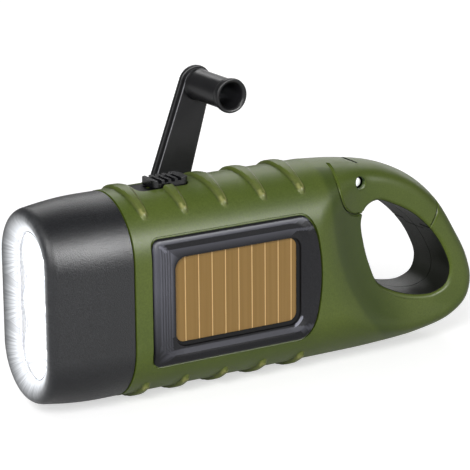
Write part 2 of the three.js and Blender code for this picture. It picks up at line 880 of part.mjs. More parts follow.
// Its inside, from the dish through the lens's seat and back to the seam.
function bezelInside() {
  const window = [windowWidth / 2, windowHeight / 2];
  const seat = [window[0] + seatSideOverlap + gap, window[1] + seatOverlap + gap];
  const shroud = seat.map((value) => value + shroudWall);
  const lip = dishDepth + lipDepth;
  const inner = headSize(shellStart).map((value) => value - headWall);
  return [
    stadiumRing(dishDepth, ...window),
    stadiumRing(lip, ...window),
    stadiumRing(lip, ...seat),
    stadiumRing(lip + seatDepth, ...seat),
    stadiumRing(lip + seatDepth, ...shroud),
    stadiumRing(lip, ...shroud),
    stadiumRing(lip, ...bezelSize(lip, headWall + rimRound / 2)),
    stadiumRing(shellStart / 2, ...bezelSize(shellStart / 2, headWall)),
    stadiumRing(shellStart, ...inner),
    stadiumRing(headLength - gap, ...inner),
  ];
}

const headBezel = () => loft([...bezelOutside(), ...bezelInside()], true);

const lensFace = dishDepth + lensSink;
const lensBack = dishDepth + lipDepth + gap;

function lens() {
  const panel = [windowWidth / 2 - gap, windowHeight / 2 - gap];
  const flange = [windowWidth / 2 + seatSideOverlap, windowHeight / 2 + seatOverlap];
  return loft([
    stadiumRing(lensFace, ...panel),
    stadiumRing(lensBack, ...panel),
    stadiumRing(lensBack, ...flange),
    stadiumRing(lensBack + lensFlange, ...flange),
  ]);
}

const reflectorFront = lensBack + lensFlange + gap;
const reflectorBack = reflectorFront + reflectorDepth;
const cupHeights = [cupPitch, 0, -cupPitch];

// A cup's radius grows with the square root of the distance from its throat.
function cupTool(z) {
  const profile = [[0, -overrun]];
  profile.push([cupThroat, -overrun]);
  for (let i = 0; i <= cupRings; i += 1) {
    const share = i / cupRings;
    const radius = cupThroat + (cupRadius - cupThroat) * Math.sqrt(share);
    profile.push([radius, reflectorDepth * (throatShare + (1 - throatShare) * share)]);
  }
  profile.push([cupRadius, reflectorDepth + overrun], [0, reflectorDepth + overrun]);
  const points = profile.map(([radius, y]) => new THREE.Vector2(radius, y));
  const geometry = new THREE.LatheGeometry(points, coarse + 2);
  return solid(geometry.rotateZ(Math.PI / 2).translate(reflectorBack, 0, z));
}

function reflector() {
  const half = [windowWidth / 2 + seatSideOverlap, windowHeight / 2 + seatOverlap];
  const body = loft([stadiumRing(reflectorFront, ...half), stadiumRing(reflectorBack, ...half)]);
  return cut(body, ...cupHeights.map(cupTool));
}

function led() {
  const profile = [
    [0, 0],
    [ledRadius + ledFlangeGrow, 0],
    [ledRadius + ledFlangeGrow, ledFlange],
    [ledRadius, ledFlange],
  ];
  for (let i = 0; i <= 4; i += 1) {
    const turn = (Math.PI / 2) * (i / 4);
    profile.push([ledRadius * Math.cos(turn), ledHeight - ledRadius + ledRadius * Math.sin(turn)]);
  }
  const points = profile.map(([radius, y]) => new THREE.Vector2(radius, y));
  return solid(new THREE.LatheGeometry(points, coarse).rotateZ(Math.PI / 2));
}

const ledBoardFront = reflectorBack + gap;

function ledBoard() {
  const half = [windowWidth / 2 + seatSideOverlap, windowHeight / 2 + seatOverlap];
  return loft([
    stadiumRing(ledBoardFront, ...half),
    stadiumRing(ledBoardFront + ledBoardThickness, ...half),
  ]);
}

// Solar panel

function solarFrame() {
  const shell = halfForm(-1, headLength, straightLength, frameProud);
  const plate = slab(frameOutline(0), -halfWidth - overrun, -(halfWidth - frameBack));
  const low = frameFlange + frameBevel;
  const funnel = loft(
    [
      frameInner(low, -(halfWidth - frameSink)),
      frameInner(low, -(halfWidth - frameSink)),
      frameInner(frameFlange, -(halfWidth + frameProud)),
      frameInner(frameFlange, -halfWidth - overrun),
    ],
  );
  const window = slab(cellOutline(0), -halfWidth - overrun, 0);
  return cut(shell.intersect(plate), funnel, window);
}

// The frame's outline drawn in by an inset, as a ring at one Y.
function frameInner(inset, y) {
  const points = frameOutline(-inset).getSpacedPoints(round + coarse).slice(1);
  return points.map(({ x, y: z }) => [x, y, z]);
}

function solarCell() {
  const face = -(halfWidth - frameBack - gap / 2);
  return slab(cellOutline(cellLap), face, face + cellThickness);
}

// Switch

const switchBodyTop = halfHeight - wall - 2 * gap;

function switchPlate() {
  const floor = halfHeight - trackDepth + gap / 3;
  const plate = column(trackShape(-gap), floor, floor + plateThickness, 4);
  const [low, high] = stemSlot(0);
  return cut(plate, block([...low, floor - overrun], [...high, floor + overrun]));
}

function switchSlider() {
  const base = halfHeight - switchSink;
  const top = halfHeight + switchRise;
  const middle = (switchStart + switchEnd) / 2;
  const length = switchEnd - switchStart;
  const cap = column(roundedRect(middle, 0, length, switchWidth, switchRound), base, top, 4);
  const pitch = (length - 2 * switchRound) / ridgeCount;
  const grooves = [];
  for (let i = 0; i < ridgeCount; i += 1) {
    const from = switchStart + switchRound + i * pitch;
    const low = [from, -switchWidth, top - ridgeDrop];
    grooves.push(block(low, [from + pitch - ridgeWidth, switchWidth, top + overrun]));
  }
  const stem = block(
    [middle - stemLength / 2, -stemWidth / 2, switchBodyTop - stemReach],
    [middle + stemLength / 2, stemWidth / 2, base + plateThickness],
  );
  return join(cut(cap, ...grooves), stem);
}

function switchBody() {
  const middle = (switchStart + switchEnd - switchTravel) / 2;
  const [length, width] = [switchBodyLength / 2, switchBodyWidth / 2];
  const floor = switchBodyTop - switchBodyHeight;
  const body = block([middle - length, -width, floor], [middle + length, width, switchBodyTop]);
  const [low, high] = stemSlot(0);
  const depth = switchBodyTop - stemReach - gap;
  return cut(body, block([...low, depth], [...high, switchBodyTop + overrun]));
}

// Carabiner gate and liner

function gateHalf(side) {
  const form = halfForm(side, cavityEnd, tailTip);
  const shape = form.intersect(gatePrism(gap / 2, -halfWidth, halfWidth));
  const spring = springPocket();
  const eye = disc(pivotX, pivotZ, eyeRadius, -halfWidth, halfWidth, coarse);
  const seat = disc(pivotX, pivotZ, pinRadius + fit, -halfLoop + eyeLip, halfLoop - eyeLip);
  return cut(shape, holeTool(), linerSpace(), lugSweep(), spring, eye, seat);
}

// The lug seen from the gate as it swings, plus running room.
function lugSweep() {
  const half = lugWidth / 2 + gap;
  const back = block(
    [pivotX - 2 * heelRadius, -half, pivotZ - 2 * heelRadius],
    [pivotX, half, halfHeight + overrun],
  );
  return join(back, disc(pivotX, pivotZ, lugRadius + gap, -half, half));
}

const springRadius = pinRadius + springWire / 2 + gap;

function springPocket() {
  const from = lugWidth / 2;
  const radius = springRadius + springWire;
  return disc(pivotX, pivotZ, radius, from, from + springRoom);
}

function gateSpring() {
  const from = lugWidth / 2 + gap + springWire / 2;
  const pitch = (springRoom - gap - springWire) / springTurns - gap / 3;
  const steps = springTurns * curlSteps;
  const rings = [];
  for (let i = 0; i <= steps; i += 1) {
    const turn = (2 * Math.PI * i) / curlSteps;
    const y = from + (pitch * i) / curlSteps;
    rings.push(wireRing(turn, y));
  }
  return loft(rings);
}

function wireRing(turn, y) {
  return Array.from({ length: curlSides }, (unused, side) => {
    const angle = (2 * Math.PI * side) / curlSides;
    const radius = springRadius + springWire / 4 + (springWire / 2) * Math.cos(angle);
    const x = pivotX + radius * Math.cos(turn);
    return [x, y + (springWire / 2) * Math.sin(angle), pivotZ + radius * Math.sin(turn)];
  });
}

function gatePin() {
  const half = halfLoop - eyeLip - gap;
  return disc(pivotX, pivotZ, pinRadius, -half, half, coarse);
}

// A strip of the hole's liner on one side, before it is shared by the loop and the gate.
function linerStrip(side) {
  const half = halfLoop - linerInset;
  const [from, to] = side > 0 ? [0, half] : [-half, 0];
  const strip = slab(polygon(holeCurve(linerThickness)), from, to);
  return cut(strip, slab(polygon(holeCurve(0)), -halfWidth, halfWidth));
}

// The gate's liner ends in a tongue that locks into the nose.
function noseTongue(grow) {
  const half = tongueWidth / 2 + grow;
  return disc(pivotX, pivotZ, gateNose + tongueLength + grow, -half, half, 2 * fine);
}

function loopLiner(side) {
  const taken = join(gatePrism(-gap, -halfWidth, halfWidth), noseTongue(gap).intersect(noseRoom()));
  return largest(cut(linerStrip(side), taken));
}

function gateLiner(side) {
  const own = join(gatePrism(gap, -halfWidth, halfWidth), noseTongue(0).intersect(noseRoom()));
  return largest(cut(linerStrip(side).intersect(own), lugSweep()));
}

// The part of the side view where the nose's interlock lies.
const noseRoom = () =>
  block([pivotX + gateNose / 2, -bodyWidth, noseFloor], [bodyLength, bodyWidth, bodyHeight]);

// Of what a cut leaves, the piece with the most material.
function largest(body) {
  const pieces = body.decompose();
  return pieces.reduce((best, piece) => (piece.volume() > best.volume() ? piece : best));
}

// Crank, in its own frame: the hub's axis is Y and the arm points along Z

const armInner = halfWidth + armLift;
const armMiddle = armInner + armThickness / 2;

// Level of the hub's underside, which turns in the flank's recess.
const hubFloor = halfWidth - hubRecess + gap;

function hubBody() {
  const [end, shoulder] = [plateBottom + gap, gearTop - gearThickness - gap];
  const top = halfWidth + hubProud;
  const profile = [
    [0, end],
    [shaftEndRadius, end],
    [shaftEndRadius, shoulder],
    [shaftRadius, shoulder],
    [shaftRadius, hubFloor],
    [hubRadius, hubFloor],
    [hubRadius, top],
    [0, top],
  ];
  return turned(0, 0, profile, fine);
}

// An ear that holds one end of the arm's hinge pin.
function hubEar(side) {
  const inner = armBaseWidth / 2 + gap;
  const [from, to] = side > 0 ? [inner, inner + earWidth] : [-inner - earWidth, -inner];
  const foot = hubFloor - armMiddle + gap;
  const shape = new THREE.Shape();
  shape.moveTo(earRound, 0);
  shape.absarc(0, 0, earRound, 0, Math.PI);
  shape.lineTo(-earLength / 2, foot);
  shape.lineTo(earLength / 2, foot);
  return alongLocalX(shape, from, to, armMiddle);
}

function crankHub() {
  const trough = alongX(barrelRadius + gap, armMiddle, armBaseWidth / 2 + gap);
  const pin = alongX(pinWire + fit, armMiddle, hubRadius + overrun);
  return cut(join(cut(hubBody(), trough), hubEar(-1), hubEar(1)), pin);
}

// A shape drawn in Z and Y, made solid along X, with its origin at a height Y.
function alongLocalX(shape, from, to, y) {
  const turn = new THREE.Matrix4().makeBasis(
    new THREE.Vector3(0, 0, -1),
    new THREE.Vector3(0, 1, 0),
    new THREE.Vector3(1, 0, 0),
  );
  const geometry = new THREE.ExtrudeGeometry(shape, {
    depth: to - from,
    bevelEnabled: false,
    curveSegments: 6,
  });
  return solid(geometry.applyMatrix4(turn).translate(from, y, 0));
}

// A cylinder along X at a height Y over the hub's centre.
function alongX(radius, y, half) {
  const geometry = new THREE.CylinderGeometry(radius, radius, 2 * half, coarse);
  return solid(geometry.rotateZ(Math.PI / 2).translate(0, y, 0));
}

function hingePin() {
  return alongX(pinWire, armMiddle, armBaseWidth / 2 + gap + earWidth);
}

function armOutline(inset) {
  const shape = new THREE.Shape();
  const base = armBaseWidth / 2 - inset;
  const tip = armTipWidth / 2 - inset;
  const start = barrelRadius / 2 + inset;
  shape.moveTo(-base, start);
  shape.lineTo(base, start);
  shape.lineTo(tip, crankReach);
  shape.absarc(0, crankReach, tip, 0, Math.PI);
  return shape;
}

function crankArm() {
  const plate = slab(armOutline(0), armMiddle, armMiddle + armThickness / 2, 10);
  const plateau = slab(armOutline(armLip), armInner, armMiddle, 10);
  const barrel = alongX(barrelRadius, armMiddle, armBaseWidth / 2);
  const pin = alongX(pinWire + fit, armMiddle, armBaseWidth);
  const screw = disc(0, crankReach, knobPost + fit, 0, bodyWidth, coarse);
  return cut(join(plate, plateau, barrel), pin, screw);
}

const knobBase = armInner - gap;

function knob() {
  const end = knobBase - knobLength;
  const rimStart = end + knobRimLength;
  const floor = knobBase - knobFloor;
  const hole = knobPost + fit;
  const profile = [
    [hole, knobBase],
    [knobRadius + gap, knobBase],
    [knobRadius, knobBase - gap - gap],
    [knobRadius, rimStart],
    [(knobRadius + knobRim) / 2, rimStart - knobRimLength / 3],
    [knobRim, rimStart - (2 * knobRimLength) / 3],
    [knobRim, end + gap],
    [knobRim - gap, end],
    [knobRim - 2 * gap, end],
    [knobBore, end + 2 * gap],
    [knobBore, floor],
    [hole, floor],
    [hole, knobBase],
  ];
  return turned(0, crankReach, profile.reverse(), 2 * few);
}

function knobScrew() {
  const floor = knobBase - knobFloor - gap;
  const head = floor - knobHeadHeight;
  const body = turned(
    0,
    crankReach,
    [
      [0, head],
      [knobHead, head],
      [knobHead, floor],
      [knobPost, floor],
      [knobPost, armInner + armThickness],
      [0, armInner + armThickness],
    ],
    coarse,
  );
  return cut(body, crossSlot(0, crankReach, head, 1));
}

// A cross recess for a screwdriver, opening towards -Y when facing is 1.
function crossSlot(x, z, y, facing, size = knobHead) {
  const [long, short] = [size * slotLengthShare, size * slotWidthShare];
  const depth = size / 4;
  const [from, to] = facing > 0 ? [y - overrun, y + depth] : [y - depth, y + overrun];
  return join(
    block([x - long, from, z - short], [x + long, to, z + short]),
    block([x - short, from, z - long], [x + short, to, z + long]),
  );
}

// Gears

const involute = (angle) => Math.tan(angle) - angle;

// A gear's outline with a tooth centred on an angle: root, pitch and tip on each flank.
function gearShape(teeth, centre, tooth) {
  const pitch = pitchRadius(teeth);
  const base = pitch * Math.cos(pressureAngle * degrees);
  const tip = pitch + addendumShare * diameterPerTooth;
  const root = pitch - dedendumShare * diameterPerTooth;
  const half = Math.PI / (2 * teeth) - backlash / (4 * pitch);
  const spread = (radius) => {
    const angle = Math.acos(Math.min(base / radius, 1));
    return half + involute(pressureAngle * degrees) - involute(angle);
  };
  const flank = [root, tip].map((radius) => [radius, spread(radius)]);
  const points = [];
  for (let i = 0; i < teeth; i += 1) {
    const middle = tooth + (2 * Math.PI * i) / teeth;
    for (const [radius, turn] of flank) points.push(polar(centre, radius, middle - turn));
    for (const [radius, turn] of [...flank].reverse()) points.push(polar(centre, radius, middle + turn));
  }
  return polygon(points);
}

const polar = ([x, z], radius, turn) => [x + radius * Math.cos(turn), z + radius * Math.sin(turn)];

// Pitch angle by which a gear's gap faces back to the gear that drives it.
const gapTowards = (angle, teeth) => angle * degrees + Math.PI + Math.PI / teeth;

function crankGear() {
  const gear = slab(
    gearShape(crankTeeth, hubPlace, idlerAngle * degrees),
    gearTop - gearThickness,
    gearTop,
  );
  return cut(gear, disc(...hubPlace, shaftRadius + fit, 0, halfWidth));
}

const lowerTop = gearTop - gearThickness - gearStep;
const lowerBottom = lowerTop - idlerThickness;

function idlerGear() {
  const pinionShape = gearShape(pinionTeeth, idlerPlace, gapTowards(idlerAngle, pinionTeeth));
  const wheelShape = gearShape(idlerTeeth, idlerPlace, rotorAngle * degrees);
  const pinion = slab(pinionShape, lowerTop, gearTop + pinionSpare);
  const wheel = slab(wheelShape, lowerBottom, lowerTop);
  return cut(join(pinion, wheel), disc(...idlerPlace, idlerShaft + fit, 0, halfWidth, coarse));
}

function shaft(place, radius) {
  return disc(...place, radius, plateBottom, innerSide - gap, coarse);
}

function rotorPinion() {
  const shape = gearShape(pinionTeeth, rotorPlace, gapTowards(rotorAngle, pinionTeeth));
  const pinion = slab(shape, lowerBottom - pinionSpare, lowerTop + pinionSpare);
  return cut(pinion, disc(...rotorPlace, rotorShaft + fit, 0, halfWidth, coarse));
}

const magnetTop = plateBottom - 2 * gap;

function rotorShaftPiece() {
  const bottom = magnetTop - magnetLength - gap;
  return disc(...rotorPlace, rotorShaft, bottom, innerSide - gap, coarse);
}

function rotorMagnet() {
  const body = disc(...rotorPlace, magnetRadius, magnetTop - magnetLength, magnetTop);
  return cut(body, disc(...rotorPlace, rotorShaft + fit, -halfWidth, halfWidth, coarse));
}

function stator() {
  const top = plateBottom - gap;
  const [from, to] = [top - statorLength, top];
  const ring = cut(
    disc(...rotorPlace, statorOuter, from, to, fine),
    disc(...rotorPlace, statorOuter - statorYoke, from - overrun, to + overrun, fine),
  );
  const poles = poleAngles().map((turn) =>
    turnedBox(turn, statorInner, statorOuter - statorYoke / 2, poleWidth / 2, from, to),
  );
  return join(ring, ...poles);
}

const poleAngles = () =>
  Array.from({ length: poleCount }, (unused, i) => (2 * Math.PI * i) / poleCount);

// A box that reaches out from the rotor's axis between two radii, at an angle.
function turnedBox(turn, inner, outer, half, from, to) {
  const geometry = new THREE.BoxGeometry(outer - inner, to - from, 2 * half);
  geometry.translate((inner + outer) / 2, (from + to) / 2, 0);
  geometry.rotateY(-turn).translate(rotorPlace[0], 0, rotorPlace[1]);
  return solid(geometry);
}

function coil(index) {
  const turn = poleAngles()[index];
  const top = plateBottom - gap;
  const [inner, outer] = [statorInner + gap, statorOuter - statorYoke - 2 * gap];
  const half = poleWidth / 2 + gap;
  const outside = turnedBox(turn, inner, outer, half + coilWall, top - statorLength - coilWall, top);
  const inside = turnedBox(
    turn,
    inner - overrun,
    outer + overrun,
    half,
    top - statorLength - gap,
    top + overrun,
  );
  return cut(outside, inside);
}

function gearPlate() {
  const [a, b, c, d] = postPlaces;
  const web = slab(polygon([a, rotorPlace, d, c, b]), plateBottom, gearPlateTop);
  const lobes = [...postPlaces, rotorPlace].map(([x, z]) =>
    disc(x, z, postRim, plateBottom, gearPlateTop, coarse),
  );
  const bores = [
    disc(...hubPlace, shaftEndRadius + fit, 0, halfWidth),
    disc(...idlerPlace, idlerShaft + fit, 0, halfWidth, coarse),
    disc(...rotorPlace, rotorShaft + fit, 0, halfWidth, coarse),
    ...postPlaces.map(([x, z]) => disc(x, z, smallScrewRadius + fit, 0, halfWidth, few)),
  ];
  return cut(join(web, ...lobes), ...bores);
}

// Screws and the loose pieces inside

function screw(place, y, facing, size) {
  const [x, z] = place;
  const { radius, head, height, length } = size;
  const profile = [
    [0, 0],
    [head, 0],
    [head, height],
    [radius, height],
    [radius, height + length],
    [0, height + length],
  ].map(([r, along]) => [r, y - facing * (height - along)]);
  const plain = turned(x, z, profile, few);
  return head > smallHeadRadius ? cut(plain, crossSlot(x, z, y - facing * height, facing, head)) : plain;
}

const bigScrew = {
  radius: screwRadius,
  head: screwHeadRadius,
  height: screwHeadHeight,
  length: screwLength,
};
const smallScrew = {
  radius: smallScrewRadius,
  head: smallHeadRadius,
  height: smallHeadHeight,
  length: smallScrewLength,
};

function mainBoard() {
  const middle = boardStart + boardLength / 2;
  const shape = roundedRect(middle, 0, boardLength, 2 * boardHalfHeight, boardBossInset);
  const board = slab(shape, -boardSide - boardThickness, -boardSide, 3);
  const holes = boardBosses.map(([x, z]) => disc(x, z, smallScrewRadius + fit, -halfWidth, 0, few));
  return cut(board, ...holes);
}

// The battery lies in the round bottom of the hollow, beside the board.
function battery() {
  const swing = halfWidth - wall - batteryFloor - batteryRadius;
  const z = halfWidth - halfHeight - Math.sqrt(swing ** 2 - batterySide ** 2);
  const geometry = new THREE.CylinderGeometry(batteryRadius, batteryRadius, batteryLength, round);
  geometry.rotateZ(Math.PI / 2);
  return solid(geometry.translate(batteryStart + batteryLength / 2, -batterySide, z));
}

// Scene graph

function piece(name, body, material) {
  const { numProp, numVert, vertProperties, triVerts } = body.getMesh();
  const places = new Float32Array(numVert * 3);
  for (let i = 0; i < numVert; i += 1) {
    places.set(vertProperties.subarray(i * numProp, i * numProp + 3), i * 3);
  }
  const geometry = new THREE.BufferGeometry();
  geometry.setAttribute("position", new THREE.BufferAttribute(places, 3));
  geometry.setIndex([...triVerts]);
  geometry.computeVertexNormals();
  const mesh = new THREE.Mesh(geometry, material);
  mesh.name = name;
  return mesh;
}

function headGroup() {
  const group = new THREE.Group();
  group.add(
    piece("head_bezel", headBezel(), charcoal),
    piece("front_lens", lens(), clear),
    piece("reflector", reflector(), chrome),
    piece("led_board", ledBoard(), boardGreen),
  );
  ["top", "middle", "bottom"].forEach((name, i) => {
    const mesh = piece("led_" + name, led(), ledWhite);
    mesh.position.set(ledBoardFront - gap / 3, 0, cupHeights[i]);
    group.add(mesh);
  });
  return group;
}

function housingGroup() {
  const group = new THREE.Group();
  group.add(
    piece("left_shell", largest(leftShell()), green),
    piece("right_shell", largest(rightShell()), green),
    piece("solar_frame", solarFrame(), charcoal),
    piece("solar_cell", solarCell(), cellBrown),
    piece("switch_plate", switchPlate(), black),
    piece("switch_slider", switchSlider(), black),
    piece("switch_body", switchBody(), black),
    piece("main_board", mainBoard(), boardGreen),
    piece("battery_pack", battery(), sleeve),
  );
  screwPlaces.forEach(([x, z], i) => {
    const body = screw([x, z], screwSeat(x, z) + gap / 3, -1, bigScrew);
    group.add(piece("housing_screw_" + (i + 1), body, steel));
  });
  boardBosses.forEach((place, i) => {
    const body = screw(place, -boardSide + gap / 3, -1, smallScrew);
    group.add(piece("board_screw_" + (i + 1), body, steel));
  });
  return group;
}

function loopGroup() {
  const group = new THREE.Group();
  group.add(
    piece("loop_liner_left", loopLiner(-1), linerGrey),
    piece("loop_liner_right", loopLiner(1), linerGrey),
    piece("gate_left", largest(gateHalf(-1)), green),
    piece("gate_right", largest(gateHalf(1)), green),
    piece("gate_liner_left", gateLiner(-1), linerGrey),
    piece("gate_liner_right", gateLiner(1), linerGrey),
    piece("gate_pin", gatePin(), steel),
    piece("gate_spring", gateSpring(), steel),
  );
  return group;
}

function crankGroup() {
  const group = new THREE.Group();
  group.add(
    piece("crank_hub", crankHub(), black),
    piece("hinge_pin", hingePin(), steel),
    piece("crank_arm", crankArm(), black),
    piece("knob", knob(), black),
    piece("knob_screw", knobScrew(), steel),
  );
  group.position.set(hubX, 0, hubZ);
  group.rotation.y = crankTilt * degrees;
  return group;
}

function generatorGroup() {
  const group = new THREE.Group();
  group.add(
    piece("crank_gear", crankGear(), nylon),
    piece("idler_gear", idlerGear(), nylon),
    piece("idler_shaft", shaft(idlerPlace, idlerShaft), steel),
    piece("rotor_pinion", rotorPinion(), nylon),
    piece("rotor_shaft", rotorShaftPiece(), steel),
    piece("rotor_magnet", rotorMagnet(), steel),
    piece("stator", stator(), steel),
    piece("gear_plate", gearPlate(), nylon),
  );
  for (let i = 0; i < poleCount; i += 1) {
    group.add(piece("stator_coil_" + (i + 1), coil(i), copper));
  }
  postPlaces.forEach((place, i) => {
    const body = screw(place, plateBottom - gap / 3, 1, smallScrew);
    group.add(piece("plate_screw_" + (i + 1), body, steel));
  });
  return group;
}

const torch = new THREE.Group();
torch.add(headGroup(), housingGroup(), loopGroup(), crankGroup(), generatorGroup());
torch.position.x = -lensFace;

export default torch;
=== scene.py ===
"""Looks of a hand cranked torch with a carabiner handle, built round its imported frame.

Lengths are in millimetres until a mesh is made. X is counted in stations, the row's X plus FRONT.
The head's pieces count theirs from the front rim, which is at station RIM.
"""

import math
from functools import partialmethod

import bmesh
import bpy
import numpy as np
from mathutils import Matrix, Vector


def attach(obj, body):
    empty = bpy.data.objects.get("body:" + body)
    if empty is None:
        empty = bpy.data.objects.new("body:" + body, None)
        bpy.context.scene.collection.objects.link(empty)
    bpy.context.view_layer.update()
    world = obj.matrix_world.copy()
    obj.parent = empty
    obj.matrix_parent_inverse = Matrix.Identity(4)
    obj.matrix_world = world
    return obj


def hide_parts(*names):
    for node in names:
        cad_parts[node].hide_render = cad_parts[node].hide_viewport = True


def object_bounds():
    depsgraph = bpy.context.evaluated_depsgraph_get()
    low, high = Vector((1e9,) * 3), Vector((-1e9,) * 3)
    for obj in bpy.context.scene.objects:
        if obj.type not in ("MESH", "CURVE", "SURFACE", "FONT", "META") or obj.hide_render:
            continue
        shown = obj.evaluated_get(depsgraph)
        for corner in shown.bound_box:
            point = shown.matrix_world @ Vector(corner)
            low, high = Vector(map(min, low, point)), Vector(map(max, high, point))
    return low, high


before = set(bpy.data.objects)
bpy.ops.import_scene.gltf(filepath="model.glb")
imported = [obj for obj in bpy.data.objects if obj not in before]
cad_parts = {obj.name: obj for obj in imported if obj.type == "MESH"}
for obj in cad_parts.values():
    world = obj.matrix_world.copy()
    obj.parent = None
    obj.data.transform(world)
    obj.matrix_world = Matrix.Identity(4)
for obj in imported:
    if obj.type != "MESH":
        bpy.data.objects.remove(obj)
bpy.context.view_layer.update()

MM = 0.001
FRONT = 3.1
RIM = 1.1
GAP = 0.3  # between pieces that seat on each other

# Housing form, as in the part's source
LENGTH, HALF_WIDTH, HALF_HEIGHT, HALF_LOOP = 142.1, 17.0, 28.2, 9.6
WALL, STRAIGHT, HEAD, CAVITY_END = 2.2, 88.0, 25.1, 86.0
BOWL_X, BOWL_Z, BOWL_RADIUS, BOWL_FLOOR, BOWL_POWER, FILLET = 142.0, 18.6, 56.0, 38.0, 1.6, 3.0
TAIL = [
    (0, 1), (0.22, 0.96), (0.437, 0.875), (0.628, 0.702), (0.772, 0.458), (0.885, 0.131),
    (0.968, -0.169), (1, -0.444), (0.962, -0.685), (0.845, -0.851), (0.637, -0.949),
    (0.34, -0.991), (0, -1),
]
HOLE = [
    (0.007, 0.82), (0.055, 0.947), (0.17, 1), (0.368, 0.933), (0.596, 0.8), (0.8, 0.603),
    (0.932, 0.403), (1, 0.21), (0.96, 0.07), (0.824, 0.003), (0.645, 0.007), (0.4, 0.077),
    (0.19, 0.203), (0.1, 0.387), (0.036, 0.603),
]
HOLE_START, HOLE_LENGTH, HOLE_BOTTOM, HOLE_HEIGHT, HOLE_ROUND = 101.2, 30.7, -14.1, 30.0, 1.3
LINER, LINER_INSET, LINER_SPLIT = 1.4, 0.9, 0.16
PIVOT_X, PIVOT_Z, HEEL, NOSE = 100.3, 21.9, 8.7, 29.5
LUG, LUG_RADIUS, LUG_PLAY, WEB_DROP = 4.0, 4.9, 0.06, 2.6
EYE, EYE_LIP, PIN_SEAT, PIN_REACH = 1.7, 0.3, 2.45, 8.4
SPRING_ROOM, SPRING_REACH = 4.05, 7.4
TONGUE, TONGUE_HALF, TONGUE_START = 1.7, 4, 115.05
SEAM_RADIUS = 0.62
NOTCH = [
    (100.5, 13.2), (100.85, 12.35), (104.6, 12.35), (104.6, 15.0), (102.9, 14.75), (101.7, 13.85),
]
HUB_X, HUB_Z, HUB_RECESS, HUB_DEPTH, HUB_BORE = 50.6, 5.6, 10.3, 1.4, 3.65
POCKET_X, POCKET_Z, POCKET_RADIUS, POCKET_FLOOR = 95.04, -5.48, 6.1, -0.7
RIB_FIRST, RIB_PITCH, RIB_COUNT = 30.6, 12.25, 5
RIB_HALF, RIB_TIP, RIB_REACH, RIB_HEIGHT = 2.7, 1.15, 11.6, 0.9
TRACK_START, TRACK_END, TRACK_WIDTH, TRACK_ROUND, TRACK_DEPTH = 33.3, 49.6, 8.4, 2.2, 1.3
SLOT_START, SLOT_END, SLOT_HALF, SLOT_DEPTH = 37.6, 45.3, 1.4, 8
SCREWS = [(29.02, 20.3), (53.69, -21.15), (86.97, 18.61), (88.52, -20.87), (134.49, -18.05)]
SCREW_HEAD, SCREW_SINK, SCREW_HOLE, SCREW_LENGTH = 2.7, 2.6, 1.35, 12.3
CELL_X, CELL_LENGTH, CELL_HEIGHT = 56.4, 37.8, 23.4
CELL_LEFT, CELL_RIGHT, CELL_TOP = 37.5, 75.3, 11.7
FRAME_BACK, REBATE, WINDOW_FLOOR = HALF_WIDTH - 1.1, 15.6, 11.4
OUT = 20  # past the flanks, where cuts end
ABOVE = HALF_HEIGHT + 6  # past the top, likewise
LIGHT_PITCH = 12.75  # between the lamps' axes


# Meshes

def mesh_of(name, points, faces):
    mesh = bpy.data.meshes.new(name)
    places = np.array(points, float) - np.array([FRONT, 0, 0])
    mesh.from_pydata((places * MM).tolist(), [], faces)
    mesh.validate()
    mesh.update()
    obj = bpy.data.objects.new(name, mesh)
    bpy.context.scene.collection.objects.link(obj)
    return obj


def stations_of(obj):
    """The mesh's points, back in stations and millimetres."""
    return np.array([v.co for v in obj.data.vertices], float) / MM + np.array([FRONT, 0, 0])


def mark(obj, name, values):
    """Stores a number at each point, for the paint."""
    layer = obj.data.attributes.new(name, "FLOAT", "POINT")
    layer.data.foreach_set("value", np.asarray(values, np.float32))


def outward(obj):
    """Turns every face out."""
    work = bmesh.new()
    work.from_mesh(obj.data)
    bmesh.ops.remove_doubles(work, verts=work.verts, dist=1e-7)
    bmesh.ops.recalc_face_normals(work, faces=work.faces)
    if work.calc_volume(signed=True) < 0:
        bmesh.ops.reverse_faces(work, faces=work.faces)
    work.to_mesh(obj.data)
    work.free()
    return obj


def loft(name, rings, endless=False, cap=True):
    """Rings of points skinned in order, capped unless the last one meets the first."""
    rings = [np.array(ring, float) for ring in rings]
    sides = len(rings[0])
    points = np.concatenate(rings).tolist()
    faces = []
    spans = len(rings) if endless else len(rings) - 1
    for i in range(spans):
        near, far = i * sides, ((i + 1) % len(rings)) * sides
        for j in range(sides):
            k = (j + 1) % sides
            faces.append((near + j, near + k, far + k, far + j))
    if not endless and cap:
        for at in (0, len(rings) - 1):
            hub = len(points)
            points.append(rings[at].mean(0).tolist())
            for j in range(sides):
                faces.append((hub, at * sides + j, at * sides + (j + 1) % sides))
    return outward(mesh_of(name, points, faces))


def extrude(name, near, far):
    """Two outlines of as many points, joined by walls and closed by a face at each end."""
    sides = len(near)
    faces = [(j, (j + 1) % sides, sides + (j + 1) % sides, sides + j) for j in range(sides)]
    faces += [tuple(range(sides)), tuple(range(sides, 2 * sides))]
    return outward(mesh_of(name, [*near, *far], faces))


def prism(name, outline, low, high):
    """A side view outline of (x, z) points, made solid from one Y to another."""
    return extrude(name, *([(x, y, z) for x, z in outline] for y in (low, high)))


def top_slab(name, outline, low, high):
    """A top view outline of (x, y) points, made solid from one Z to another."""
    return extrude(name, *([(x, y, z) for x, y in outline] for z in (low, high)))


def circle(x, z, radius, count=90):
    turns = np.linspace(0, 2 * math.pi, count, endpoint=False)
    return [(x + radius * math.cos(t), z + radius * math.sin(t)) for t in turns]


def rod(name, x, z, radius, low, high, sides=96):
    return prism(name, circle(x, z, radius, sides), low, high)


def tangents(path, closed):
    along = np.roll(path, -1, 0) - np.roll(path, 1, 0) if closed else np.gradient(path, axis=0)
    return along / np.linalg.norm(along, axis=1)[:, None]


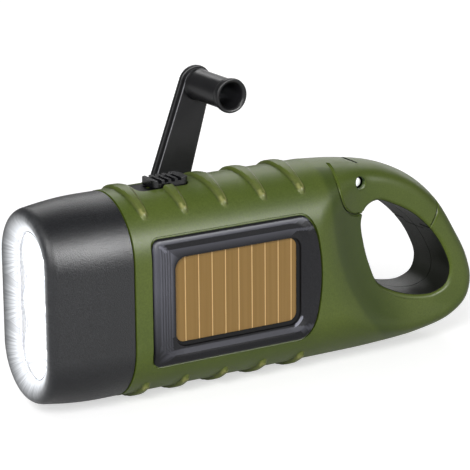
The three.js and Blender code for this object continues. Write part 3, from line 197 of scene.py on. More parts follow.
def tube(name, path, radius, closed=False):
    rings = []
    for place, tangent in zip(path, tangents(path, closed)):
        side = np.cross(tangent, (0.0, 1.0, 0.02))
        side /= np.linalg.norm(side)
        up = np.cross(side, tangent)
        rings.append([place + radius * (c * side + s * up) for c, s in circle(0, 0, 1, 8)])
    return loft(name, rings, endless=closed)


def combine(target, kind, *tools):
    """Adds, subtracts or intersects the tools, which are used up."""
    for tool in tools:
        modifier = target.modifiers.new("cut", "BOOLEAN")
        modifier.operation = kind
        modifier.object = tool
        modifier.solver = "MANIFOLD"
        graph = bpy.context.evaluated_depsgraph_get()
        mesh = bpy.data.meshes.new_from_object(target.evaluated_get(graph))
        target.modifiers.clear()
        target.data = mesh
        bpy.data.objects.remove(tool)
    return target


def cut(target, *tools):
    return combine(target, "DIFFERENCE", *tools)


def shade(obj, angle):
    """Smooth shading that keeps edges sharper than the angle."""
    work = bmesh.new()
    work.from_mesh(obj.data)
    for face in work.faces:
        face.smooth = True
    limit = math.radians(angle)
    for edge in work.edges:
        edge.smooth = len(edge.link_faces) == 2 and edge.calc_face_angle(0) < limit
    work.to_mesh(obj.data)
    work.free()
    weighted = obj.modifiers.new("normals", "WEIGHTED_NORMAL")
    weighted.keep_sharp = True


def finish_piece(obj, paint, node, body="housing", angle=32):
    obj.data.materials.clear()
    obj.data.materials.append(paint.material)
    shade(obj, angle)
    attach(obj, body)
    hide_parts(node)


# Curves

def catmull(points, count, closed=False):
    """Centripetal curve through the points, in equal steps of its parameter."""
    pts = np.array(points, float)
    spans = len(pts) if closed else len(pts) - 1
    if closed:
        pts = np.concatenate([pts[-1:], pts, pts[:2]])
    else:
        pts = np.concatenate([[2 * pts[0] - pts[1]], pts, [2 * pts[-1] - pts[-2]]])
    out = []
    for place in np.linspace(0, spans, count, endpoint=not closed):
        i = min(int(place), spans - 1)
        w = place - i
        p = pts[i : i + 4]
        d = [max(np.linalg.norm(p[k + 1] - p[k]) ** 0.5, 1e-4) for k in range(3)]
        middle = (p[2] - p[1]) / d[1]
        t1 = ((p[1] - p[0]) / d[0] - (p[2] - p[0]) / (d[0] + d[1]) + middle) * d[1]
        t2 = (middle - (p[3] - p[1]) / (d[1] + d[2]) + (p[3] - p[2]) / d[2]) * d[1]
        out.append(
            p[1] + t1 * w
            + (-3 * p[1] + 3 * p[2] - 2 * t1 - t2) * w**2
            + (2 * p[1] - 2 * p[2] + t1 + t2) * w**3
        )
    return np.array(out)


OUTLINE = catmull([(STRAIGHT + x * (LENGTH - STRAIGHT), z * HALF_HEIGHT) for x, z in TAIL], 420)
TIP = int(np.argmax(OUTLINE[:, 0]))
TIP_X = float(OUTLINE[TIP, 0]) - 0.02  # a blunt end, just short of the curve's
TOP, BOTTOM = OUTLINE[: TIP + 1], OUTLINE[TIP:][::-1]


def smooth(share):
    return share * share * (3 - 2 * share)


def quarter(steps):
    """1 - sine and 1 - cosine, in even steps of a quarter turn."""
    for i in range(steps + 1):
        turn = math.pi / 2 * i / steps
        yield 1 - math.sin(turn), 1 - math.cos(turn)


def arc(x, z, radius, start, sweep, steps):
    """Points of an arc, with its start and sweep in degrees."""
    turns = [math.radians(start + sweep * i / steps) for i in range(steps + 1)]
    return [(x + radius * math.cos(t), z + radius * math.sin(t)) for t in turns]


def oblong(x0, x1, z0, z1):
    return [(x0, z0), (x1, z0), (x1, z1), (x0, z1)]


def rounded(x, z, width, height, radius, steps=10):
    """A rectangle's points, with one radius or four, from the corner of most X and Z."""
    radii = radius if isinstance(radius, tuple) else (radius,) * 4
    points = []
    for r, sx, sz, start in zip(radii, (1, -1, -1, 1), (1, 1, -1, -1), (0, 90, 180, 270)):
        points += arc(x + sx * (width / 2 - r), z + sz * (height / 2 - r), r, start, 90, steps)
    return points


def bezier(points, count):
    pts = np.array(points, float)
    t = np.linspace(0, 1, count, endpoint=False)[:, None]
    if len(pts) == 3:
        return list((1 - t) ** 2 * pts[0] + 2 * (1 - t) * t * pts[1] + t**2 * pts[2])
    return list(pts[0] + (pts[1] - pts[0]) * t)


def edge_at(edge, x):
    return np.interp(x, *edge.T)


def depth_at(x, z):
    """Distance to the side view's outline, less than zero outside it."""
    nearest = np.where(x > STRAIGHT, np.inf, np.minimum(HALF_HEIGHT - z, HALF_HEIGHT + z))
    for (x0, z0), (x1, z1) in zip(OUTLINE[:-1:2], OUTLINE[2::2]):
        dx, dz = x1 - x0, z1 - z0
        along = np.clip(((x - x0) * dx + (z - z0) * dz) / (dx * dx + dz * dz), 0, 1)
        nearest = np.minimum(nearest, np.hypot(x - x0 - along * dx, z - z0 - along * dz))
    inside = (z <= edge_at(TOP, x)) & (z >= edge_at(BOTTOM, x))
    return np.where(inside | (x <= STRAIGHT), nearest, -nearest)


def bowl_share(x, z):
    """How far a place is from the scoop's floor (0) to the flank (1)."""
    return (np.hypot(x - BOWL_X, z - BOWL_Z) - BOWL_FLOOR) / (BOWL_RADIUS - BOWL_FLOOR)


def thickness(x, z, grow=0.0):
    """Half thickness of the housing at places of the side view."""
    x, z = np.asarray(x, float), np.asarray(z, float)
    radius = HALF_WIDTH + grow
    within = np.clip(depth_at(x, z) + grow, 0, radius)
    crown = np.sqrt(np.maximum(within * (2 * radius - within), 0))
    share = np.maximum(bowl_share(x, z), 0)
    scoop = HALF_LOOP + (HALF_WIDTH - HALF_LOOP) * share**BOWL_POWER + grow
    near = np.maximum(FILLET - np.abs(crown - scoop), 0) / FILLET
    return np.maximum(np.minimum(crown, scoop) - near * near * FILLET / 4, 0)


def form_points(x, share, grow=0.0):
    """Points of one half, at shares from the top edge (0) to the bottom one (1)."""
    top = edge_at(TOP, x) + grow
    bottom = edge_at(BOTTOM, x) - grow
    z = top + (bottom - top) * (1 - np.cos(math.pi * share)) / 2
    y = thickness(x, z, grow)
    y = np.where((share <= 0) | (share >= 1), 0, y)
    return np.stack([x, y, z], -1)


def rib_edges(y):
    """Left and right half width of a rib at a place across the top, and its share of the reach."""
    share = np.clip(np.abs(y) / RIB_REACH, 0, 1)
    left = RIB_HALF + (RIB_TIP - RIB_HALF) * share**1.2
    right = RIB_TIP + (RIB_HALF - RIB_TIP) * (1 - share) ** 2.2 + 0.35 * (1 - share)
    return left, right, share


def rib_sides(x):
    """Distance behind each rib's middle line."""
    return [x - (RIB_FIRST + i * RIB_PITCH) for i in range(RIB_COUNT)]


def rib_height(x, y):
    """Height of the ribs over a place of the top view: steep in front, gentle behind."""
    left, right, share = rib_edges(y)
    past = np.maximum(np.abs(y) - RIB_REACH, 0)
    front_slope, back_slope = 0.7, 0.55 + 1.3 * (1 - share)
    total = np.zeros_like(x)
    for side in rib_sides(x):
        tip = np.where(past > 0, RIB_TIP - np.hypot(side, past), np.inf)
        front = np.clip(np.minimum(side + left, tip) / front_slope, 0, 1)
        back = np.clip(np.minimum(right - side, tip + 0.2) / back_slope, 0, 1)
        total = np.maximum(total, smooth(front) * smooth(back))
    return total


def rib_lines(x, y):
    """Strength of the painted highlight behind each rib and round its tip, and of the painted shade
    ahead.
    """
    left, right, share = rib_edges(y)
    past = np.abs(y) - RIB_REACH
    line_width, tip_width, dark_width = 0.26, 0.3, 0.4
    on = np.clip((0.1 - past) / 0.3, 0, 1)
    light, dark = np.zeros_like(x), np.zeros_like(x)
    for side in rib_sides(x):
        # Painted highlight along the back edge, a faint tint over the rib and a painted glint round
        # the tip; the dark line ahead is painted shade
        line = np.exp(-((side - right + 0.4) / line_width) ** 2) * on * (0.5 + 0.5 * share)
        band = ((side > -left) & (side < right)) * on * (0.06 + 0.2 * share**3)
        round_tip = np.hypot(side, past) - RIB_TIP + 0.45
        tip = np.exp(-(round_tip / tip_width) ** 2) * (past > -0.4)
        light = np.maximum.reduce([light, line, band, tip])
        dark = np.maximum(dark, np.exp(-((side + left - 0.05) / dark_width) ** 2) * on)
    return light, dark


def half_form(name, side, stations, steps, grow=0.0, ribs=False):
    """One half of the housing's outer form, closed by flat faces at its ends and middle."""
    x, share = np.meshgrid(stations, np.linspace(0, 1, steps + 1), indexing="ij")
    points = form_points(x, share, grow)
    if ribs:
        height = rib_height(points[..., 0], points[..., 1]) * (np.abs(points[..., 2]) > 12)
        raised = form_points(x, share, RIB_HEIGHT)
        points = points + (raised - points) * height[..., None]
    points[..., 1] *= side
    return loft(name, list(points))


def spaced(*spans):
    """Stations from (start, end, step) spans."""
    places = []
    for start, end, step in spans:
        count = round((end - start) / step)
        places += list(np.linspace(start, end, count, endpoint=False))
    return places + [spans[-1][1]]


def to_tip(start, steps):
    """Stations up to the tail's tip, closer together towards it."""
    turn = np.linspace(0, math.pi / 2, steps + 1)[:-1]
    return [start + (TIP_X - start) * math.sin(t) for t in turn] + [TIP_X]


def hole_curve(grow):
    points = [(HOLE_START + x * HOLE_LENGTH, HOLE_BOTTOM + z * HOLE_HEIGHT) for x, z in HOLE]
    curve = catmull(points, 168, closed=True)
    x, z = tangents(curve, True).T
    return curve + grow * np.stack([-z, x], -1)


def hole_tool():
    """The loop's opening, with rounded edges on both sides."""
    levels = [(HALF_LOOP - HOLE_ROUND * sunk, HOLE_ROUND * wider) for sunk, wider in quarter(8)]
    levels.append((HALF_WIDTH, HOLE_ROUND))
    rings = [(-y, grow) for y, grow in reversed(levels)] + levels
    return loft("hole", [[(x, y, z) for x, z in hole_curve(grow)] for y, grow in rings])


def seam_curve(inset):
    return arc(PIVOT_X, PIVOT_Z, HEEL - inset, 125, 141, 70)


def gate_outline(inset):
    """The gate from the side: its heel's seam, then the arc of its nose."""
    nose = arc(PIVOT_X, PIVOT_Z, NOSE - inset, -48, 40, 60)
    return seam_curve(inset) + [(PIVOT_X + HEEL, PIVOT_Z - HEEL)] + nose + [(nose[-1][0], ABOVE)]


def on_surface(outline, side):
    x, z = np.array(outline, float).T
    return np.stack([x, side * thickness(x, z), z], -1)


def seam_grooves(side):
    """Fine grooves along the gate's two ends, on one flank."""
    for points in (seam_curve(0), arc(PIVOT_X, PIVOT_Z, NOSE, -34, 33, 60)):
        points = np.array(points)
        inside = points[depth_at(*points.T) > 0.15]
        yield tube("groove", on_surface(inside, side), SEAM_RADIUS)


# Materials

def srgb(r, g, b):
    """A screen colour, from 0 to 255, in Blender's linear numbers."""
    def line(v):
        v /= 255
        return v / 12.92 if v <= 0.04045 else ((v + 0.055) / 1.055) ** 2.4
    return (line(r), line(g), line(b), 1)


WHITE = (1, 1, 1, 1)


class Field:
    """A value that varies over a surface. Arithmetic with it makes math nodes."""

    def __init__(self, socket):
        self.socket = socket

    def do(self, kind, *others):
        return compute(self.socket.id_data, kind, self, *others)

    def __rsub__(self, other):
        return compute(self.socket.id_data, "SUBTRACT", other, self)

    __add__ = partialmethod(do, "ADD")
    __sub__ = partialmethod(do, "SUBTRACT")
    __mul__ = partialmethod(do, "MULTIPLY")
    __truediv__ = partialmethod(do, "DIVIDE")
    __pow__ = partialmethod(do, "POWER")
    __abs__ = partialmethod(do, "ABSOLUTE")


def plug(socket, value):
    """Links a field to a socket, or sets the socket to a number or colour."""
    if isinstance(value, Field):
        socket.id_data.links.new(value.socket, socket)
    else:
        socket.default_value = value


def compute(tree, kind, *values):
    node = tree.nodes.new("ShaderNodeMath")
    node.operation = kind
    for socket, value in zip(node.inputs, values):
        plug(socket, value)
    return Field(node.outputs[0])


def length(a, b):
    return (a * a + b * b).do("SQRT")


class Paint:
    """A material with short calls for its nodes. Places are in metres, in the row's frame."""

    def __init__(self, name, rough, metal=0.0):
        self.material = bpy.data.materials.new(name)
        self.material.use_nodes = True
        self.tree = self.material.node_tree
        self.shader = self.tree.nodes["Principled BSDF"]
        self.set("Roughness", rough)
        self.set("Metallic", metal)
        self.place = self.field(self.node("TexCoord"), "Object")

    def set(self, name, value):
        plug(self.shader.inputs[name], value)

    def node(self, kind, **values):
        """A node whose sockets of these names are set or linked."""
        node = self.tree.nodes.new("ShaderNode" + kind)
        for name, value in values.items():
            plug(node.inputs[name], value)
        return node

    def field(self, node, output=0):
        return Field(node.outputs[output])

    def axes(self):
        node = self.node("SeparateXYZ", Vector=self.place)
        return [self.field(node, i) for i in range(3)]

    def noise(self, scale, detail=2.0, stretch=None, rough=0.5, place=None):
        place = place or self.place
        if stretch:
            place = self.field(self.node("Mapping", Vector=place, Scale=stretch))
        node = self.node("TexNoise", Vector=place, Scale=scale, Detail=detail, Roughness=rough)
        return self.field(node, "Fac")

    def ramp(self, value, low, high, start=0.3):
        """From one colour to the other, between start and as far from the value's other end."""
        node = self.node("ValToRGB", Fac=value)
        for item, at, colour in zip(node.color_ramp.elements, (start, 1 - start), (low, high)):
            item.position = at
            item.color = colour
        return self.field(node)

    def mix(self, share, a, b, blend="MIX"):
        node = self.node("Mix")
        node.data_type = "RGBA"
        node.blend_type = blend
        for i, value in ((0, share), (6, a), (7, b)):
            plug(node.inputs[i], value)
        return self.field(node, 2)

    def span(self, value, low, high, out_low=0.0, out_high=1.0):
        node = self.node("MapRange")
        node.interpolation_type = "SMOOTHSTEP"
        for socket, number in zip(node.inputs, (value, low, high, out_low, out_high)):
            plug(socket, number)
        return self.field(node)

    def bump(self, value, strength, distance):
        node = self.node("Bump", Height=value, Strength=strength, Distance=distance)
        self.set("Normal", self.field(node))

    def attribute(self, name):
        node = self.node("Attribute")
        node.attribute_name = name
        return self.field(node, "Fac")

    def glow(self, colour, strength):
        self.set("Emission Color", colour)
        self.set("Emission Strength", strength)


def moulded(name, low, high, rough, grain, grain_scale=2600, specular=0.5, speck_depth=0.12):
    """Grained plastic: two close tones in soft clouds, and a fine bump."""
    paint = Paint(name, rough)
    paint.set("Specular IOR Level", specular)
    cloud = paint.noise(55, 3)
    speck = paint.noise(grain_scale, 3, rough=0.6)
    tone = paint.ramp(cloud, srgb(*low), srgb(*high))
    dark, light = 1 - speck_depth, 1 + speck_depth
    fine = paint.ramp(speck, (dark, dark, dark, 1), (light, light, light, 1), 0.32)
    paint.base = paint.mix(1.0, tone, fine, "MULTIPLY")
    paint.set("Base Color", paint.base)
    paint.set("Roughness", paint.span(speck, 0.25, 0.75, rough - 0.05, rough + 0.07))
    paint.bump(speck, grain, 0.00012)
    return paint


def tinted(paint, *tints):
    """Mixes colours over the base, each as far as the attribute of its name says."""
    base = paint.base
    for name, most, colour in tints:
        base = paint.mix(paint.attribute(name) * most, base, srgb(*colour))
    paint.set("Base Color", base)
    return paint


def cell_paint():
    """Brown film with thin light lines across it, seen through clear resin."""
    paint = Paint("solar_cell_film", 0.32)
    paint.set("Specular IOR Level", 0.3)
    first, pitch = (40.6 - FRONT) * MM, 4.15 * MM
    along = (paint.axes()[0] - first) / pitch
    off = abs((along + 0.5).do("FRACT") - 0.5)
    line = 1.0 - paint.span(off, 0.022, 0.045)
    streaks = paint.noise(900, stretch=(1, 1, 0.02))
    film = paint.ramp(streaks, srgb(138, 106, 52), srgb(150, 117, 62), 0.25)
    paint.set("Base Color", paint.mix(line, film, srgb(222, 184, 126)))
    paint.set("Roughness", paint.span(streaks, 0.2, 0.8, 0.3, 0.38))
    paint.bump(line, 0.15, 0.00005)
    return paint


def stadium_distance(paint, half_width, straight):
    """Distance outside an upright stadium round the X axis."""
    across, height = paint.axes()[1:]
    up = (abs(height) - straight * MM).do("MAXIMUM", 0.0)
    return length(across, up) - half_width * MM


def lamp_polar(paint):
    """Distance from the nearest lamp's axis, and the angle round it."""
    across, height = paint.axes()[1:]
    pitch = LIGHT_PITCH * MM
    row = (height / pitch).do("ROUND").do("MAXIMUM", -1.0).do("MINIMUM", 1.0)
    rise = height - row * pitch
    return length(across, rise), rise.do("ARCTAN2", across)


def ray_noise(paint, far, turn, fineness, stretch):
    """Noise drawn out along lines from the lamps, without a seam behind them."""
    spots = (turn.do("COSINE") * fineness, turn.do("SINE") * fineness, far * stretch)
    place = paint.field(paint.node("CombineXYZ", **dict(zip("XYZ", spots))))
    return paint.noise(1.0, place=place)


def head_paint():
    """Charcoal grained plastic with a painted glow round the window, standing in for the lamps'
    light on it.
    """
    paint = moulded("charcoal_head", (25, 26, 29), (31, 32, 35), 0.33, 0.75, 2900, 0.42, 0.5)
    near = paint.span(stadium_distance(paint, 8.0, 12.5), -0.0005, 0.0074, 1.0, 0.0)
    front = paint.span(paint.axes()[0], -0.0006, 0.0026, 1.0, 0.0)
    streaks = ray_noise(paint, *lamp_polar(paint), 26, 120)
    # Painted light: the bezel glows near the window, in rays
    light = near**2.1 * 1.5 * front * paint.span(streaks, 0.3, 0.7, 0.62, 0.98)
    paint.glow((0.93, 0.96, 1, 1), light)
    return paint


def reflector_paint():
    """Bright metal cups with a painted glow in rays, standing in for the lamps' light in them."""
    paint = Paint("reflector_metal", 0.2, 1.0)
    far, turn = lamp_polar(paint)
    rays = ray_noise(paint, far, turn, 14, 300)
    tone = paint.ramp(paint.noise(300), (0.86, 0.88, 0.92, 1), (0.97, 0.97, 1, 1))
    paint.set("Base Color", tone)
    # Painted light: the cups glow, brightest near each lamp
    glow = paint.span(far, 0.0015, 0.008, 1.0, 0.55) * paint.span(rays, 0.35, 0.65, 0.75, 1.1)
    paint.glow(paint.ramp(rays, (0.93, 0.96, 1, 1), WHITE), glow)
    return paint


def led_paint():
    """Clear resin, lit white."""
    paint = Paint("led_resin", 0.2)
    soft = paint.noise(700)
    paint.set("Base Color", paint.ramp(soft, (0.92, 0.95, 1, 1), WHITE))
    paint.glow(paint.ramp(soft, (0.94, 0.97, 1, 1), WHITE), 3.0)
    return paint


def lens_paint():
    """Clear polished plastic with fine turned rings round each lamp."""
    paint = Paint("clear_lens", 0.05)
    paint.set("Transmission Weight", 1.0)
    paint.set("IOR", 1.49)
    far, turn = lamp_polar(paint)
    broken = ray_noise(paint, far, turn, 2.5, 500)
    ring = paint.span((far * 5200.0 + broken * 4.0).do("SINE"), 0.1, 0.95)
    ring = ring * paint.span(far, 0.0028, 0.0065) * paint.span(broken, 0.38, 0.6)
    paint.set("Base Color", paint.mix(ring, WHITE, (0.62, 0.66, 0.72, 1)))
    paint.bump(ring, 0.04, 0.0001)
    return paint


def pin_paint():
    """Polished metal with a painted glow in the middle of its end, standing in for light seen
    through the eye, and a painted shade ring round its edge.
    """
    paint = Paint("bright_pin", 0.25, 1.0)
    soft = paint.noise(900)
    x, _, z = paint.axes()
    from_axis = length(x - (PIVOT_X - FRONT) * MM, z - PIVOT_Z * MM)
    # Painted shade round the end's edge, and painted glow inside it
    edge = paint.span(from_axis, 0.00105, 0.0013)
    bright = paint.ramp(soft, srgb(236, 238, 242), srgb(250, 251, 253))
    paint.set("Base Color", paint.mix(edge, bright, srgb(22, 24, 18)))
    paint.glow(paint.ramp(soft, (0.9, 0.92, 0.95, 1), WHITE), (1.0 - edge) * 0.4)
    return paint


def metal_paint(name, low, high, rough=0.3, stretch=(1, 1, 1)):
    """Brushed metal in two close tones."""
    paint = Paint(name, rough, 1.0)
    brushed = paint.noise(1400, 3, stretch=stretch)
    paint.set("Base Color", paint.ramp(brushed, srgb(*low), srgb(*high)))
    paint.set("Roughness", paint.span(brushed, 0.2, 0.8, rough - 0.08, rough + 0.1))
    paint.bump(brushed, 0.06, 0.00005)
    return paint


# Ribs have painted shade at their foot ahead and a warm painted highlight along their edge behind;
# the scoop and the eye's wall get painted shade
SHELL = tinted(
    moulded("green_shell", (78, 93, 33), (87, 101, 38), 0.4, 0.12, 2200, 0.25),
    ("rib_painted_shade", 0.6, (38, 46, 22)), ("rib_painted_highlight", 1, (143, 143, 84)), ("shade", 1, (30, 50, 4)),
)
HEAD_PAINT = head_paint()
# The frame's walls round the cell get painted shade, and its slats and corners get painted
# highlights
TRIM = tinted(
    moulded("charcoal_trim", (24, 24, 27), (30, 30, 34), 0.36, 0.25, 2600, 0.2, 0.25),
    ("lit", 1, (134, 135, 147)), ("shade", 1, (3, 3, 4)),
)
BLACK = moulded("black_plastic", (21, 21, 23), (27, 27, 29), 0.33, 0.1, 3000, 0.32)
# The arm's raised lip gets a painted highlight along its edge
ARM = tinted(
    moulded("black_arm", (20, 20, 22), (27, 27, 29), 0.34, 0.1, 3000, 0.32),
    ("lit", 1, (150, 150, 155)),
)
GLOSSY = moulded("gloss_black", (16, 16, 18), (22, 22, 25), 0.2, 0.05)
PLATE = moulded("plate_black", (10, 10, 11), (15, 15, 16), 0.5, 0.1, 2600, 0.12)
LINER_PAINT = moulded("liner_plastic", (17, 19, 13), (24, 26, 20), 0.5, 0.2, 2400, 0.25)
CELL = cell_paint()
STEEL = metal_paint("zinc_steel", (150, 152, 158), (205, 207, 212))
PIN = pin_paint()
MIRROR = reflector_paint()
LED = led_paint()
LENS = lens_paint()
NYLON = moulded("gear_nylon", (222, 219, 208), (234, 232, 224), 0.5, 0.1)
BOARD = moulded("board_green", (22, 74, 46), (30, 92, 58), 0.35, 0.1, 1400)
COPPER = metal_paint("copper_wire", (150, 78, 40), (205, 120, 66), 0.35, (1, 14, 1))
SLEEVE = moulded("battery_sleeve", (40, 84, 140), (52, 98, 158), 0.3, 0.05, 900)


# Housing

def gate_space():
    """What the gate takes from the housing, but for the lug that carries its pin."""
    space = prism("gate_space", gate_outline(-GAP / 2), -OUT, OUT)
    outline = oblong(PIVOT_X - 2 * HEEL, PIVOT_X, PIVOT_Z - WEB_DROP, ABOVE + 3)
    eye = rod("eye", PIVOT_X, PIVOT_Z, LUG_RADIUS, -LUG, LUG)
    return cut(space, combine(prism("web", outline, -LUG, LUG), "UNION", eye))


def lug_room():
    half = LUG + LUG_PLAY
    outline = oblong(PIVOT_X - 2 * HEEL, PIVOT_X, PIVOT_Z - 2 * HEEL, ABOVE + 1)
    room = rod("eye_room", PIVOT_X, PIVOT_Z, LUG_RADIUS + GAP, -half, half)
    return prism("back", outline, -half, half), room


def notch():
    """The small step in the hole's edge under the gate's heel."""
    return prism("notch", NOTCH, -OUT, OUT)


def loop_room():
    """The loop's opening, and the wider room of its liner."""
    half = HALF_LOOP - LINER_INSET + GAP / 2
    return hole_tool(), prism("liner_space", hole_curve(LINER + GAP), -half, half)


def frame_outline(grow):
    """The panel frame's outline, from the front's middle, as in the source."""
    dense, left, right, corner = 14, 30.5 - grow, 82.85 + grow, 76.4
    half, front, back = 17.6 + grow, max(2 + grow, 0.3), 8.0
    bulge, shoulder, edge = half - back, right - back / 3, right - back / 8
    points = arc(left + front, half - front, front, 90, 90, dense)
    points += arc(left + front, front - half, front, 180, 90, dense)
    points += bezier([points[-1], (corner, -half)], 3 * dense)[1:]
    for curve in (
        [(corner, -half), (shoulder, -half), (edge, -bulge)],
        [(edge, -bulge), (right + back / 8, 0), (edge, bulge)],
        [(edge, bulge), (shoulder, half), (corner, half)],
    ):
        points += bezier(curve, 2 * dense)
    return points + bezier([(corner, half), points[0]], 3 * dense)


def crank_openings():
    """What the crank, the knob's pocket and the screws take from the right shell."""
    yield rod("recess", HUB_X, HUB_Z, HUB_RECESS, HALF_WIDTH - HUB_DEPTH, OUT)
    yield rod("bore", HUB_X, HUB_Z, HUB_BORE, 0, OUT)
    for x, z in SCREWS:
        seat = float(thickness(x, z)) - SCREW_SINK
        yield rod("screw_head", x, z, SCREW_HEAD, seat, OUT, 48)
        yield rod("screw_hole", x, z, SCREW_HOLE, seat - SCREW_LENGTH, OUT, 24)
    lip = on_surface(circle(POCKET_X, POCKET_Z, POCKET_RADIUS), 1)
    yield tube("lip_pocket", lip, 0.35, closed=True)


def panel_openings():
    """What the solar panel and its frame take from the left shell."""
    yield prism("rebate", frame_outline(GAP + 0.25), -OUT, -REBATE)
    window = rounded(CELL_X, 0, CELL_LENGTH + 3, CELL_HEIGHT + 3, 4.5)
    yield prism("window", window, -OUT, -WINDOW_FLOOR)
    yield tube("lip", on_surface(frame_outline(GAP)[::2], -1), 0.3, closed=True)


def mark_ribs(obj):
    """Stores the painted highlight and shade along the ribs and the scoop's painted shade, for the
    paint.
    """
    x, y, z = stations_of(obj).T
    outer = (np.abs(z) > 14) & (x < CAVITY_END) & (np.abs(y) < RIB_REACH + 3)
    for name, value in zip(("rib_painted_highlight", "rib_painted_shade"), rib_lines(x, y)):
        mark(obj, name, np.where(outer, value, 0))
    # Painted shade over the scoop, fading out towards the tail
    bowl = np.clip((0.97 - bowl_share(x, z)) / 0.1, 0, 1) * np.clip((120 - x) / 18, 0, 1) * (x > 80)
    mark(obj, "shade", 0.4 * smooth(bowl) * (np.abs(y) > 6))


def shell(word, side):
    node = word + "_shell"
    ribbed = spaced((HEAD, 27.0, 0.5), (27.0, 84.2, 0.36), (84.2, 110, 0.9))
    body = half_form(node + "_skin", side, ribbed + to_tip(110.9, 46), 112, ribs=True)
    hollow = spaced((HEAD - 3, CAVITY_END, 3.0))
    inner = [half_form("in", s, hollow, 40, grow=-WALL) for s in (1, -1)]
    track = rounded(
        (TRACK_START + TRACK_END) / 2, 0, TRACK_END - TRACK_START, TRACK_WIDTH, TRACK_ROUND)
    slot = oblong(SLOT_START, SLOT_END, -SLOT_HALF, SLOT_HALF)
    cut(body, combine(inner[0], "UNION", inner[1]), gate_space(), *loop_room())
    cut(
        body,
        top_slab("track", track, HALF_HEIGHT - TRACK_DEPTH, ABOVE),
        top_slab("slot", slot, HALF_HEIGHT - SLOT_DEPTH, ABOVE),
        rod("eye", PIVOT_X, PIVOT_Z, PIN_SEAT, -OUT, OUT),
        rod("knob_pocket", POCKET_X, POCKET_Z, POCKET_RADIUS, POCKET_FLOOR, OUT),
        *seam_grooves(side), notch(), *(crank_openings() if side > 0 else panel_openings()))
    mark_ribs(body)
    finish_piece(body, SHELL, node, angle=28)


def gate_half(word, side):
    node = "gate_" + word
    body = half_form(node + "_skin", side, spaced((84, 128, 0.6), (128, 138, 1.0)), 96)
    own = prism("own", gate_outline(GAP / 2), -HALF_WIDTH, HALF_WIDTH)
    combine(body, "INTERSECT", own)
    lip = on_surface(circle(PIVOT_X, PIVOT_Z, EYE + 0.05, 48), side)
    cut(
        body, *loop_room(), *lug_room(),
        rod("eye", PIVOT_X, PIVOT_Z, EYE, -OUT, OUT, 64),
        rod("seat", PIVOT_X, PIVOT_Z, PIN_SEAT, -PIN_REACH, PIN_REACH, 64),
        tube("eye_lip", lip, EYE_LIP, closed=True), *seam_grooves(side), notch())
    if side > 0:
        cut(body, rod("spring_room", PIVOT_X, PIVOT_Z, SPRING_ROOM, LUG, SPRING_REACH, 48))
    # Painted shade on the wall of the gate's eye
    x, y, z = stations_of(body).T
    mark(body, "shade", (np.hypot(x - PIVOT_X, z - PIVOT_Z) < EYE + 0.06) & (np.abs(y) < 9.42))
    finish_piece(body, SHELL, node, "gate", angle=28)


def nose_tongue(grow):
    half = TONGUE_HALF + grow
    body = rod("tongue", PIVOT_X, PIVOT_Z, NOSE + TONGUE + grow, -half, half, 160)
    room = prism("room", oblong(TONGUE_START, 145, -3.5, 57), -2 * HALF_WIDTH, 2 * HALF_WIDTH)
    return combine(body, "INTERSECT", room)


def liner_strip(name, side):
    low, high = sorted((side * LINER_SPLIT, side * (HALF_LOOP - LINER_INSET)))
    strip = prism(name, hole_curve(LINER), low, high)
    return cut(strip, prism("clear", hole_curve(0), -HALF_WIDTH, HALF_WIDTH))


def liners(word, side):
    """One half of the loop's dark liner, and of the gate's."""
    fixed = liner_strip("loop_liner_%s_skin" % word, side)
    taken = prism("taken", gate_outline(-GAP), -HALF_WIDTH, HALF_WIDTH)
    cut(fixed, combine(taken, "UNION", nose_tongue(GAP)), notch())
    finish_piece(fixed, LINER_PAINT, "loop_liner_" + word)
    own = prism("own", gate_outline(GAP), -HALF_WIDTH, HALF_WIDTH)
    own = combine(own, "UNION", nose_tongue(0))
    moving = combine(liner_strip("gate_liner_%s_skin" % word, side), "INTERSECT", own)
    cut(moving, *lug_room())
    finish_piece(moving, LINER_PAINT, "gate_liner_" + word, "gate")


# Solar panel

# Distances outside the cell's edge (left, right, top, bottom) and the corner radius
SLOPE_TOP = np.array((5.3, 3.7, 4.2, 3.7, 6.0))
SLOPE_FOOT = np.array((1.5, 1.9, 2.5, 1.9, 4.4))
SLATS = 4.25  # steps of the slope on the left
# The same for the groove beside the cell, and each ring's depth below the slope's foot
GROOVE = (
    ((0.5, 1.75, 0.5, 1.65, 3.6), -0.02), ((0.3, 1.55, 0.3, 1.45, 3.5), 0.02),
    ((0.2, 1.42, 0.2, 1.32, 3.4), 0.14), ((0.12, 1.34, 0.12, 1.24, 3.4), 0.34),
    ((0.08, 1.2, 0.08, 1.1, 3.3), 0.68), ((0.04, 0.08, 0.04, 0.08, 2.4), 0.74),
)
PROUD, FLANGE_ROUND = 0.5, 0.6
FRAME_FLOOR = HALF_WIDTH - 0.5


def frame_ring(points):
    """The outline's points at even angles about the cell's middle, so that rings match."""
    x, z = np.array(points, float).T
    angles = np.arctan2(z / (CELL_HEIGHT + 5), (x - CELL_X) / (CELL_LENGTH + 8))
    want = np.linspace(-math.pi, math.pi, 360, endpoint=False)
    return [np.interp(want, angles, values, period=2 * math.pi) for values in (x, z)]


def around(left, right, top, bottom, radius, mitred=False):
    """A ring at these distances outside the cell; its upper front corner may be mitred."""
    x0, x1 = CELL_X - CELL_LENGTH / 2 - left, CELL_X + CELL_LENGTH / 2 + right
    z0, z1 = -CELL_HEIGHT / 2 - bottom, CELL_HEIGHT / 2 + top
    radii = (radius, 0.3 if mitred else radius, radius, radius)
    return frame_ring(rounded((x0 + x1) / 2, (z0 + z1) / 2, x1 - x0, z1 - z0, radii))


def flank(ring, height):
    """Half thickness at a ring, that much above the housing's flank."""
    return np.minimum(thickness(*ring), HALF_WIDTH) + height


